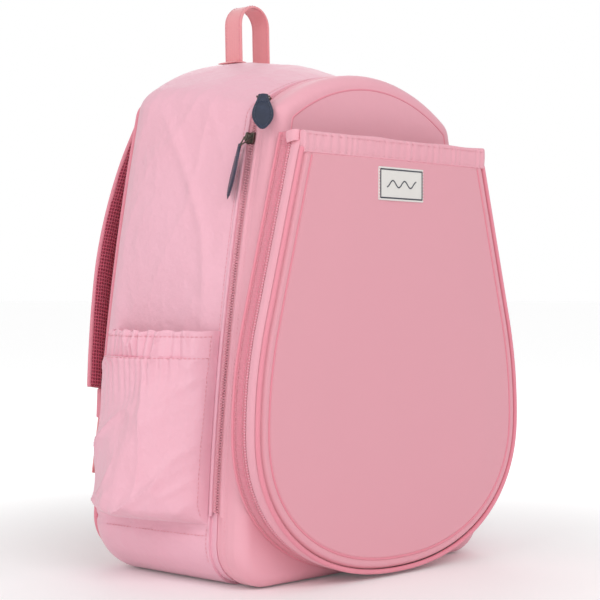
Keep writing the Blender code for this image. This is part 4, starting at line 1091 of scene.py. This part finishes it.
def make_pocket(side, word):
    y_front = FRONT + TUB_LIP + 0.0015
    y_back = BACK - BACK_CURVE
    band_foot = POCKET_TOP - POCKET_BAND
    share = (1 - np.cos(np.linspace(0, math.pi, 150))) / 2
    share = 0.35 * share + 0.65 * np.linspace(0, 1, 150)
    y = y_front + (y_back - y_front) * share
    z = np.concatenate((POCKET_FOOT - 0.001 + 0.014 * np.linspace(0, 1, 16)[:-1] ** 1.6,
                        np.linspace(POCKET_FOOT + 0.013, band_foot - 0.004, 62)[:-1],
                        np.linspace(band_foot - 0.004, POCKET_TOP, 34)))
    yy, zz = np.meshgrid(y, z)
    ss = np.broadcast_to(share, yy.shape)
    up = np.clip((zz - POCKET_FOOT + 0.001) / (band_foot - POCKET_FOOT), 0, 1)
    full = ((POCKET_BULGE + 0.011) * (1 - (1 - np.clip(up / 0.20, 0, 1)) ** 2.4)
            - 0.012 * ease(0.25, 1.0, up))
    bulge = np.sin(math.pi * np.clip(ss, 0, 1)) ** 0.38 * full
    free = np.sin(math.pi * np.clip(ss, 0.0, 1.0)) ** 0.6
    warp = yy + side * 0.21
    phase = 2 * math.pi * yy / 0.0072 + 2.4 * drift(yy / 0.013, zz * 0 + side, 91)
    gather = np.abs(np.sin(phase / 2)) ** 1.4 * (0.65 + 0.35 * drift(yy / 0.01, zz / 0.02 + side, 92))
    below = np.clip(band_foot - zz, 0, None)
    in_band = (zz > band_foot)
    pleats = gather * np.where(in_band, 0.0036, 0.0046 * np.exp(-below / 0.018))
    long_folds = creases(zz, warp, 0.12, 0.018, 4, 95 + side) * 0.0110 * np.exp(-below / 0.070)
    slack = (creases(warp, zz, 0.09, 0.030, 30 * side, 97) * 0.0120
             + creases(warp, zz, 0.07, 0.022, 140, 98) * 0.0090
             + drift(warp / 0.035, zz / 0.045, 99) * 0.0040)
    slack = slack * (1 - in_band) * ease(0.0, 0.02, zz - POCKET_FOOT)
    tuck = np.abs(np.sin(2 * math.pi * yy / 0.029 + 1.1)) ** 1.5 * 0.0045 * np.exp(
        -np.clip(zz - POCKET_FOOT, 0, None) / 0.016) * ease(0, 0.004, zz - POCKET_FOOT)
    seam = groove(zz - band_foot, 0.0009) * 0.0012 + groove(zz - POCKET_TOP + 0.0045, 0.0008) * 0.0007
    lip = ease(POCKET_TOP - 0.0015, POCKET_TOP, zz) * 0.0008
    push = bulge + (pleats + long_folds + slack - 0.001 + tuck) * free - seam * free - lip
    wave = 0.0009 * np.sin(phase * 0.5) * ease(POCKET_TOP - 0.006, POCKET_TOP, zz) * free
    x = side_x(zz, yy) + GAP + np.maximum(push, 0.0002)
    points = np.stack((side * x, yy, zz + wave), axis=2)
    # The loose cloth hangs over the pocket's foot.
    points[..., 2] -= 0.011 * free * np.sin(math.pi * np.clip(up / 0.5, 0, 1)) * (1 - in_band)
    piece = mesh_piece(f"pocket_{word}", [(points, spans(points, 1), spans(points, 0), False, 0)],
                       MATERIALS["light"], thickness=0.0014)
    hand_over(piece, "bag", f"side_pocket_{word}", f"pocket_band_{word}", slot="nylon")
    lines = []
    for level in (band_foot, POCKET_TOP - 0.0045):
        k = int(np.argmin(np.abs(z - level)))
        lines.append((points[k, 3:-3] + (side * 0.0003, 0, 0), (side, 0.0, 0.0)))
    for column in (2, -3):
        lines.append((points[12:-6, column] + (side * 0.0006, 0, 0), (side, 0.0, 0.0)))
    stitches(f"pocket_{word}_stitches", lines, "bag", "nylon")


# ---- back, straps and handle ---------------------------------------------------------------------

def make_back():
    edge = tub_loop(PAD_INSET, BACK)

    def height(share, x, z):
        roll = 1 - np.clip(1 - (1 - share) / 0.045, 0, 1) ** 2.2
        spine = groove(x, 0.011) * 0.006 * ease(0.03, 0.06, z) * (1 - ease(0.37, 0.40, z))
        cross = (groove(z - 0.150, 0.0045) + groove(z - 0.285, 0.0045)) * 0.0042
        rim = groove((1 - share) - 0.075, 0.012) * 0.0022
        soft = drift(x / 0.04, z / 0.05, 51) * 0.0006
        channels = (spine + cross * (1 - groove(x, 0.02)) + rim) * roll
        return BACK + GAP + PAD_THICKNESS * roll - channels + soft * roll
    points = polar_fill(edge, 90, np.array((0.0, 0.215)), height)
    base = at_depth(edge, BACK + GAP)[None]
    points = np.concatenate((base, points))
    pad = mesh_piece("back_padding", [closed_fill(points)], MATERIALS["mesh"], smooth=75)
    hand_over(pad, "bag", "back_pad", slot="air_mesh")
    loop = tub_loop(PAD_INSET - 0.001, BACK)
    cord = tube("back_binding", at_depth(loop, BACK + 0.0030), 0.0026, MATERIALS["piping"], sides=10,
                closed=True)
    hand_over(cord, "bag", slot="nylon")
    for word in ("left", "right"):
        tab = softened(f"corner_patch_{word}", f"corner_tab_{word}", 0.0006, MATERIALS["nylon"])
        hand_over(tab, "bag", f"corner_tab_{word}", slot="nylon")
    yoke = softened("yoke_patch", "strap_yoke", 0.0008, MATERIALS["nylon"])
    hand_over(yoke, "bag", "strap_yoke", slot="nylon")
    low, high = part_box("strap_yoke")
    y = high[1] + 0.0001
    x0, x1, z0, z1 = low[0] + 0.003, high[0] - 0.003, low[2] + 0.003, high[2] - 0.003
    lines = []
    for a, b in (((x0, z0), (x1, z0)), ((x0, z1), (x1, z1)), ((x0, z0), (x0, z1)), ((x1, z0), (x1, z1))):
        t = np.linspace(0, 1, 40)[:, None]
        flat = np.array(a) * (1 - t) + np.array(b) * t
        lines.append((at_depth(flat, y), (0, 1, 0)))
    stitches("yoke_stitches", lines, "bag", "nylon")


def make_straps():
    for side, word in ((-1, "left"), (1, "right")):
        knots = [(side * x, PAD_BACK + y, z) for x, y, z in STRAP_LINE]
        line = even(smooth_line(knots, 8), 110)
        step = np.gradient(line, axis=0)
        across = np.column_stack((-step[:, 2], np.zeros(len(step)), step[:, 0]))

        def dent(t, w):
            channel = groove(np.abs(w) - 0.50, 0.035) * 0.0007
            return -channel + 0.0003 * drift(t * 30, w * 3, 55)
        strap = ribbon(f"strap_{word}_padding", line, across, STRAP_WIDTH, STRAP_THICKNESS,
                       MATERIALS["mesh"], slots=(1, 0),
                       extra=(MATERIALS["nylon"],), crown=0.35, count=34, dent=dent)
        face_out(strap)
        hand_over(strap, f"strap_{word}", f"shoulder_strap_{word}", slot="air_mesh")
        unit = across / np.linalg.norm(across, axis=1, keepdims=True)
        for s in (-1, 1):
            cord = line + unit * s * (STRAP_WIDTH / 2 - 0.001)
            piece = tube(f"strap_{word}_binding_{'a' if s < 0 else 'b'}", cord, 0.0024,
                         MATERIALS["piping"], sides=10)
            hand_over(piece, f"strap_{word}", slot="nylon")
        face = np.cross(step / np.linalg.norm(step, axis=1, keepdims=True), unit)
        face *= np.sign(face[:, 1:2])
        top = line + face * (STRAP_THICKNESS / 2 + 0.0008)
        band = ribbon(f"strap_{word}_webbing", top[6:], across[6:], WEBBING_WIDTH, 0.0016,
                      MATERIALS["webbing"], count=12)
        hand_over(band, f"strap_{word}", slot="webbing")
        rows = [(top[8:] + unit[8:] * s * (WEBBING_WIDTH / 2 - 0.002) + face[8:] * 0.0009, face[8:])
                for s in (-1, 1)]
        stitches(f"strap_{word}_stitches", rows, f"strap_{word}", "webbing")
        lock = softened(f"lock_{word}", f"ladder_lock_{word}", 0.0007, MATERIALS["plastic"])
        hand_over(lock, f"strap_{word}", f"ladder_lock_{word}", slot="lock_plastic")
        lower = softened(f"webbing_{word}", f"lower_webbing_{word}", 0.0004, MATERIALS["webbing"])
        hand_over(lower, f"strap_{word}", f"lower_webbing_{word}", slot="webbing")


def face_out(strap):
    """Nylon on the strap's outer face and mesh on the face towards the back."""
    for face in strap.data.polygons:
        face.material_index = 1 if face.normal.y > 0.1 else 0


def make_handle():
    base = float(tub_loop(0.0, HANDLE_Y)[:, 1].max()) + GAP
    half = HANDLE_SPAN / 2
    straight = HANDLE_RISE - half
    knots = [(-half, 0.0)] + [(-half, straight * s) for s in (0.3, 0.6)]
    turn = np.linspace(math.pi, 0, 15)
    knots += [(half * math.cos(t), straight + half * math.sin(t)) for t in turn]
    knots += [(half, straight * s) for s in (0.6, 0.3)] + [(half, 0.0)]
    path = even(np.array(knots), 90)
    line = at_depth(path + (0, base), HANDLE_Y)
    line[:, 1] += 0.0012 * np.sin(np.linspace(0, math.pi, 90))
    across = np.broadcast_to((0.0, 1.0, 0.0), line.shape)
    loop = ribbon("grab_loop", line, across, HANDLE_WIDTH, 0.0024, MATERIALS["webbing"], crown=0.6,
                  count=22)
    hand_over(loop, "bag", "grab_handle", slot="webbing")
    rows = []
    normal = outward(path)
    for s in (-1, 1):
        for sign in (-1, 1):
            edge = line + (0, s * (HANDLE_WIDTH / 2 - 0.0018), 0) - at_depth(normal, 0.0) * sign * 0.0013
            rows.append((edge[3:-3], -at_depth(normal, 0.0)[3:-3] * sign))
    stitches("loop_stitches", rows, "bag", "webbing", spacing=0.0032, length=0.0024, width=0.0005)
    for s in (-1, 1):
        run = np.linspace(-0.004, 0.009, 12)
        sunk = base + 0.0006 - np.abs(run) * 0.06
        foot = np.column_stack((s * (half + run), np.full(12, HANDLE_Y), sunk))
        seat = ribbon(f"loop_foot_{'left' if s < 0 else 'right'}", foot,
                      np.broadcast_to((0.0, 1.0, 0.0), (12, 3)), HANDLE_WIDTH + 0.003, 0.0018,
                      MATERIALS["webbing"], count=10)
        hand_over(seat, "bag", slot="webbing")


# ---- inside ---------------------------------------------------------------------------------------

def make_insides():
    board = softened("base_stiffener", "base_board", 0.0008, MATERIALS["board"])
    hand_over(board, "bag", "base_board", slot="board")
    low, high = (np.array(c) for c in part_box("inner_slip_pocket"))
    x = np.linspace(low[0], high[0], 120)
    z = np.concatenate((np.linspace(low[2], high[2] - 0.02, 40)[:-1],
                        np.linspace(high[2] - 0.02, high[2], 14)))
    xx, zz = np.meshgrid(x, z)
    share = (xx - low[0]) / (high[0] - low[0])
    rise = np.sin(math.pi * share) ** 0.35 * (1 - np.clip(1 - (zz - low[2]) / 0.02, 0, 1) ** 2)
    gather = np.abs(np.sin(math.pi * xx / 0.011 + drift(xx / 0.02, zz * 0, 33))) * 0.0016
    yy = high[1] - 0.001 - rise * (high[1] - low[1] - 0.004) - gather * rise * ease(-0.05, 0.0, zz - high[2])
    points = np.stack((xx, yy, zz), axis=2)
    pouch = mesh_piece("slip_pocket", [(points, xx, zz, False, 0)], MATERIALS["lining"], thickness=0.0014)
    hand_over(pouch, "bag", "inner_slip_pocket", slot="lining")
    hem = np.column_stack((x, yy[-1], np.full_like(x, high[2])))
    hand_over(tube("slip_pocket_hem", hem, 0.0020, MATERIALS["piping"], sides=8), "bag", slot="lining")


# ---- pulls and sliders --------------------------------------------------------------------------------

def axes_of(node):
    """A node's corners, and its long, wide and thin ways."""
    points = np.array([v.co for v in frame["nodes"][node].data.vertices])
    _, _, ways = np.linalg.svd(points - points.mean(0), full_matrices=False)
    return points, ways


def make_pulls():
    eyes = {j["child"]: np.array(j["pos_m"]) for j in frame["joints"] if j["name"].endswith("_swing")
            and "pull" in j["name"]}
    for word in ("upper", "lower", "sleeve"):
        body = f"{word}_pull"
        slider = softened(f"slider_{word}", f"zip_slider_{word}", 0.0003, MATERIALS["metal"])
        hand_over(slider, f"{word}_slider", f"zip_slider_{word}", slot="slider_metal")
        link = softened(f"link_{word}", f"pull_link_{word}", 0.0002, MATERIALS["metal"])
        hand_over(link, body, f"pull_link_{word}", slot="slider_metal")
        make_leaf(word, body, eyes[body])


def make_leaf(word, body, eye):
    points, ways = axes_of(f"pull_leaf_{word}")
    centre = points.mean(0)
    long_way = ways[0]
    reach = (points - centre) @ long_way
    ends = centre + long_way * reach.min(), centre + long_way * reach.max()
    if np.linalg.norm(ends[0] - eye) > np.linalg.norm(ends[1] - eye):
        long_way, reach, ends = -long_way, -reach, ends[::-1]
    wide = ways[1]
    thin = np.cross(long_way, wide)
    start = centre + long_way * reach.min()
    middle = np.median((points - start) @ thin)
    start = start + thin * middle
    length = reach.max() - reach.min()
    across = (points - start) @ wide
    half_belly = (across.max() - across.min()) / 2
    start = start + wide * (across.max() + across.min()) / 2
    share = np.concatenate((np.linspace(0, 0.97, 60), [0.985, 0.995, 1.0]))
    neck = 0.0041
    grow = neck + (half_belly - neck) * np.sin(math.pi / 2 * np.clip(share / 0.58, 0, 1)) ** 1.6
    taper = half_belly * np.cos(math.pi / 2 * np.clip((share - 0.58) / 0.45, 0, 0.985)) ** 0.75
    half = np.where(share < 0.58, grow, taper)
    half[-1] = 0.0004
    columns = np.linspace(-1, 1, 25)
    grids = []
    for sign in (1, -1):
        edge = 1 - np.abs(columns) ** 5
        rim = np.minimum(1.0, 8 * (1 - share))[:, None] ** 0.5
        stitched = groove((1 - np.abs(columns))[None, :] * half[:, None] - 0.0018, 0.0005) * 0.25
        lift = 0.00095 * (0.25 + 0.75 * edge[None, :]) * np.maximum(rim, 0.25) - stitched * 0.0012
        fold = 0.0003 * ease(0.30, 0.0, share)[:, None] * edge[None, :]
        grid = (start + long_way * (share * length)[:, None, None]
                + wide * (columns[None, :] * half[:, None])[..., None]
                + thin * (sign * (lift + fold))[..., None])
        grids.append((grid, spans(grid, 1), spans(grid, 0), False, 0))
    front, rear = grids[0][0], grids[1][0]
    for edge in (0, -1):
        rim = np.stack((front[:, edge], rear[:, edge]), axis=1)
        grids.append((rim, spans(rim, 1), spans(rim, 0), False, 0))
        cap = np.stack((front[edge], rear[edge]), axis=0)
        grids.append((cap, spans(cap, 1), spans(cap, 0), False, 0))
    leaf = mesh_piece(f"leaf_{word}", grids, MATERIALS["leather"], smooth=50)
    hand_over(leaf, body, f"pull_leaf_{word}", slot="pull_leather")
    lines = []
    for sign in (1, -1):
        # The upper leaf rides close over the flap, so its under side has no raised stitches.
        if word == "upper" and sign * (thin @ (centre - (0, 0, 0.242))) < 0:
            continue
        side = 0.00095
        ring = []
        inner = np.maximum(half - 0.0019, 0.0003)
        keep = (share > 0.05) & (share < 0.94)
        for s in (1, -1):
            part = (start + long_way * (share * length)[:, None] + wide * (s * inner)[:, None]
                    + thin * sign * side)[keep]
            ring.append(part if s > 0 else part[::-1])
        lines.append((np.vstack(ring), tuple(thin * sign)))
        t = np.linspace(-1, 1, 12)[:, None]
        bar = start + long_way * length * 0.235 + wide * t * neck * 1.1 + thin * sign * (side + 0.0003)
        lines.append((bar, tuple(thin * sign)))
    stitches(f"leaf_{word}_stitches", lines, body, "pull_leather", material="leather_thread",
             spacing=0.0019, length=0.0014, width=0.0004)


# ---- stage -------------------------------------------------------------------------------------------

def make_stage():
    floor_mesh = bpy.data.meshes.new("floor")
    reach = 60.0
    floor_mesh.from_pydata([(-reach, -reach, 0), (reach, -reach, 0), (reach, reach, 0), (-reach, reach, 0)],
                           [], [(0, 1, 2, 3)])
    floor = bpy.data.objects.new("floor", floor_mesh)
    bpy.context.collection.objects.link(floor)
    material, tree, shader = shaded("pale_floor", linear("#fbfbfb"), 0.7)
    # Away from the bag a painted glow, for the camera alone, lifts the floor to paper white; nearer the bag
    # the glow is weaker, so the floor there stays darker.
    ray = add_node(tree, "ShaderNodeLightPath")
    here = add_node(tree, "ShaderNodeTexCoord")
    away = add_node(tree, "ShaderNodeVectorMath", links={0: here.outputs["Object"]}, operation="LENGTH")
    lift = add_node(tree, "ShaderNodeMapRange", {"From Min": 0.18, "From Max": 0.75, "To Min": 0.06,
                    "To Max": 0.40}, {"Value": away.outputs["Value"]}, interpolation_type="SMOOTHSTEP")
    glow = add_node(tree, "ShaderNodeMath", links={0: ray.outputs["Is Camera Ray"], 1: lift.outputs[0]},
                    operation="MULTIPLY")
    shader.inputs["Emission Color"].default_value = (1.0, 1.0, 1.0, 1.0)
    tree.links.new(glow.outputs[0], shader.inputs["Emission Strength"])
    floor_mesh.materials.append(material)
    world = bpy.data.worlds.new("studio")
    world.use_nodes = True
    tree = world.node_tree
    tree.nodes["Background"].inputs[0].default_value = linear("#ffffff")
    tree.nodes["Background"].inputs[1].default_value = 0.60
    # The backdrop seen by the camera is paper white; the light it sheds is softer.
    paper = add_node(tree, "ShaderNodeBackground", {0: linear("#ffffff"), 1: 1.0})
    ray = add_node(tree, "ShaderNodeLightPath")
    both = add_node(tree, "ShaderNodeMixShader", links={0: ray.outputs["Is Camera Ray"],
                    1: tree.nodes["Background"].outputs[0], 2: paper.outputs[0]})
    tree.links.new(both.outputs[0], tree.nodes["World Output"].inputs[0])
    bpy.context.scene.world = world
    for name, place, aim, size, power in (
            ("key", (-1.0, -2.2, 2.0), (0.0, 0.0, 0.22), 1.6, 25.0),
            ("left", (-2.6, -0.2, 1.2), (-0.1, 0.0, 0.22), 1.5, 13.0),
            ("rim", (1.8, 1.8, 1.8), (0.0, 0.0, 0.25), 1.5, 10.0)):
        light = bpy.data.lights.new(name, "AREA")
        light.energy = power
        light.size = size
        lamp = bpy.data.objects.new(name, light)
        lamp.location = place
        lamp.rotation_euler = (Vector(aim) - Vector(place)).to_track_quat("-Z", "Y").to_euler()
        bpy.context.collection.objects.link(lamp)
    lens = bpy.data.cameras.new("camera")
    lens.lens = 95.6
    lens.sensor_width = 36.0
    camera = bpy.data.objects.new("camera", lens)
    camera.location = (-1.027, -1.006, 0.235)
    camera.rotation_euler = Vector((0.7219, 0.6920, -0.0023)).to_track_quat("-Z", "Y").to_euler()
    bpy.context.collection.objects.link(camera)
    bpy.context.scene.camera = camera
    bpy.context.scene.view_settings.view_transform = "Standard"


# ---- add-on -------------------------------------------------------------------------------------------

class BagColours(bpy.types.PropertyGroup):
    """sRGB hex colours of the bag's finishes"""
    nylon: bpy.props.StringProperty(name="Nylon", description="Cloth of the flap and bands",
                                    default="#f3b0be")
    nylon_shade: bpy.props.StringProperty(name="Nylon shade", description="Deeper tone in the cloth",
                                          default="#eaa0b0")
    cover: bpy.props.StringProperty(name="Cover", description="Cloth of the racket cover",
                                    default="#eaa5b2")
    side: bpy.props.StringProperty(name="Sides", description="Light cloth of sides and pockets",
                                   default="#f2b9c9")
    tape: bpy.props.StringProperty(name="Zip tape", description="Woven tape of the zips",
                                   default="#f090a3")
    # Painted shade in the hollows between the tape's ribs.
    tape_shade: bpy.props.StringProperty(name="Zip tape shade", description="Hollows of the tape",
                                         default="#dd7086")
    # The piping cord is real; its deeper pink is partly its own colour and partly painted shade of the seam
    # creases.
    piping: bpy.props.StringProperty(name="Piping", description="Covered cord along the seams",
                                     default="#ec93a4")
    thread: bpy.props.StringProperty(name="Thread", description="Sewing thread", default="#f2a9b6")
    mesh: bpy.props.StringProperty(name="Air mesh", description="Padding's mesh", default="#e0667f")
    # Painted shade in the depth of the mesh's holes.
    mesh_hole_shade: bpy.props.StringProperty(name="Mesh holes", description="Foam seen in the holes",
                                        default="#9d2f49")
    webbing: bpy.props.StringProperty(name="Webbing", description="Satin webbing of the loop",
                                      default="#f7a6a8")
    leather: bpy.props.StringProperty(name="Leather", description="Leather of the pulls",
                                      default="#232b42")


class BAG_OT_body(bpy.types.Operator):
    """Make the tub's cloth, its folds and its stitches"""
    bl_idname = "bag.body"
    bl_label = "Main compartment"

    def execute(self, context):
        make_tub()
        return {"FINISHED"}


class BAG_OT_flap(bpy.types.Operator):
    """Make the front flap, the main zip and the cloth at the flap's foot"""
    bl_idname = "bag.flap"
    bl_label = "Front flap and main zip"

    def execute(self, context):
        make_flap()
        make_main_zip()
        return {"FINISHED"}


class BAG_OT_sleeve(bpy.types.Operator):
    """Make the racket sleeve with its cover, piping, gathered band and label"""
    bl_idname = "bag.sleeve"
    bl_label = "Racket sleeve"

    def execute(self, context):
        make_sleeve()
        return {"FINISHED"}


class BAG_OT_pockets(bpy.types.Operator):
    """Make both side pockets with their gathered tops"""
    bl_idname = "bag.pockets"
    bl_label = "Side pockets"

    def execute(self, context):
        make_pockets()
        return {"FINISHED"}


class BAG_OT_back(bpy.types.Operator):
    """Make the padded back, the yoke and the corner patches"""
    bl_idname = "bag.back"
    bl_label = "Back"

    def execute(self, context):
        make_back()
        return {"FINISHED"}


class BAG_OT_straps(bpy.types.Operator):
    """Make both shoulder straps with their bindings, webbing and locks"""
    bl_idname = "bag.straps"
    bl_label = "Shoulder straps"

    def execute(self, context):
        make_straps()
        return {"FINISHED"}


class BAG_OT_handle(bpy.types.Operator):
    """Make the grab loop"""
    bl_idname = "bag.handle"
    bl_label = "Grab loop"

    def execute(self, context):
        make_handle()
        return {"FINISHED"}


class BAG_OT_insides(bpy.types.Operator):
    """Make the base board and the slip pocket inside"""
    bl_idname = "bag.insides"
    bl_label = "Insides"

    def execute(self, context):
        make_insides()
        return {"FINISHED"}


class BAG_OT_pulls(bpy.types.Operator):
    """Make the sliders, links and leather leaves"""
    bl_idname = "bag.pulls"
    bl_label = "Zip pulls"

    def execute(self, context):
        make_pulls()
        return {"FINISHED"}


class BAG_OT_stage(bpy.types.Operator):
    """Make the floor, the lights and the camera"""
    bl_idname = "bag.stage"
    bl_label = "Stage"

    def execute(self, context):
        make_stage()
        return {"FINISHED"}


class BAG_PT_panel(bpy.types.Panel):
    """Lists the bag's pieces and colours"""
    bl_idname = "BAG_PT_panel"
    bl_label = "Racket backpack"
    bl_space_type = "VIEW_3D"
    bl_region_type = "UI"
    bl_category = "Bag"

    def draw(self, context):
        for one in PIECES:
            self.layout.operator(one.bl_idname)
        colours = context.scene.bag_colours
        for name in BagColours.__annotations__:
            self.layout.prop(colours, name)


PIECES = (BAG_OT_body, BAG_OT_flap, BAG_OT_sleeve, BAG_OT_pockets, BAG_OT_back, BAG_OT_straps,
          BAG_OT_handle, BAG_OT_insides, BAG_OT_pulls, BAG_OT_stage)
CLASSES = (BagColours,) + PIECES + (BAG_PT_panel,)


def register():
    for one in CLASSES:
        bpy.utils.register_class(one)
    bpy.types.Scene.bag_colours = bpy.props.PointerProperty(type=BagColours)


def unregister():
    del bpy.types.Scene.bag_colours
    for one in reversed(CLASSES):
        bpy.utils.unregister_class(one)


def main():
    register()
    make_materials(bpy.context.scene.bag_colours)
    bpy.ops.bag.body()
    bpy.ops.bag.flap()
    bpy.ops.bag.sleeve()
    bpy.ops.bag.pockets()
    bpy.ops.bag.back()
    bpy.ops.bag.straps()
    bpy.ops.bag.handle()
    bpy.ops.bag.insides()
    bpy.ops.bag.pulls()
    bpy.ops.bag.stage()


if __name__ == "__main__":
    main()
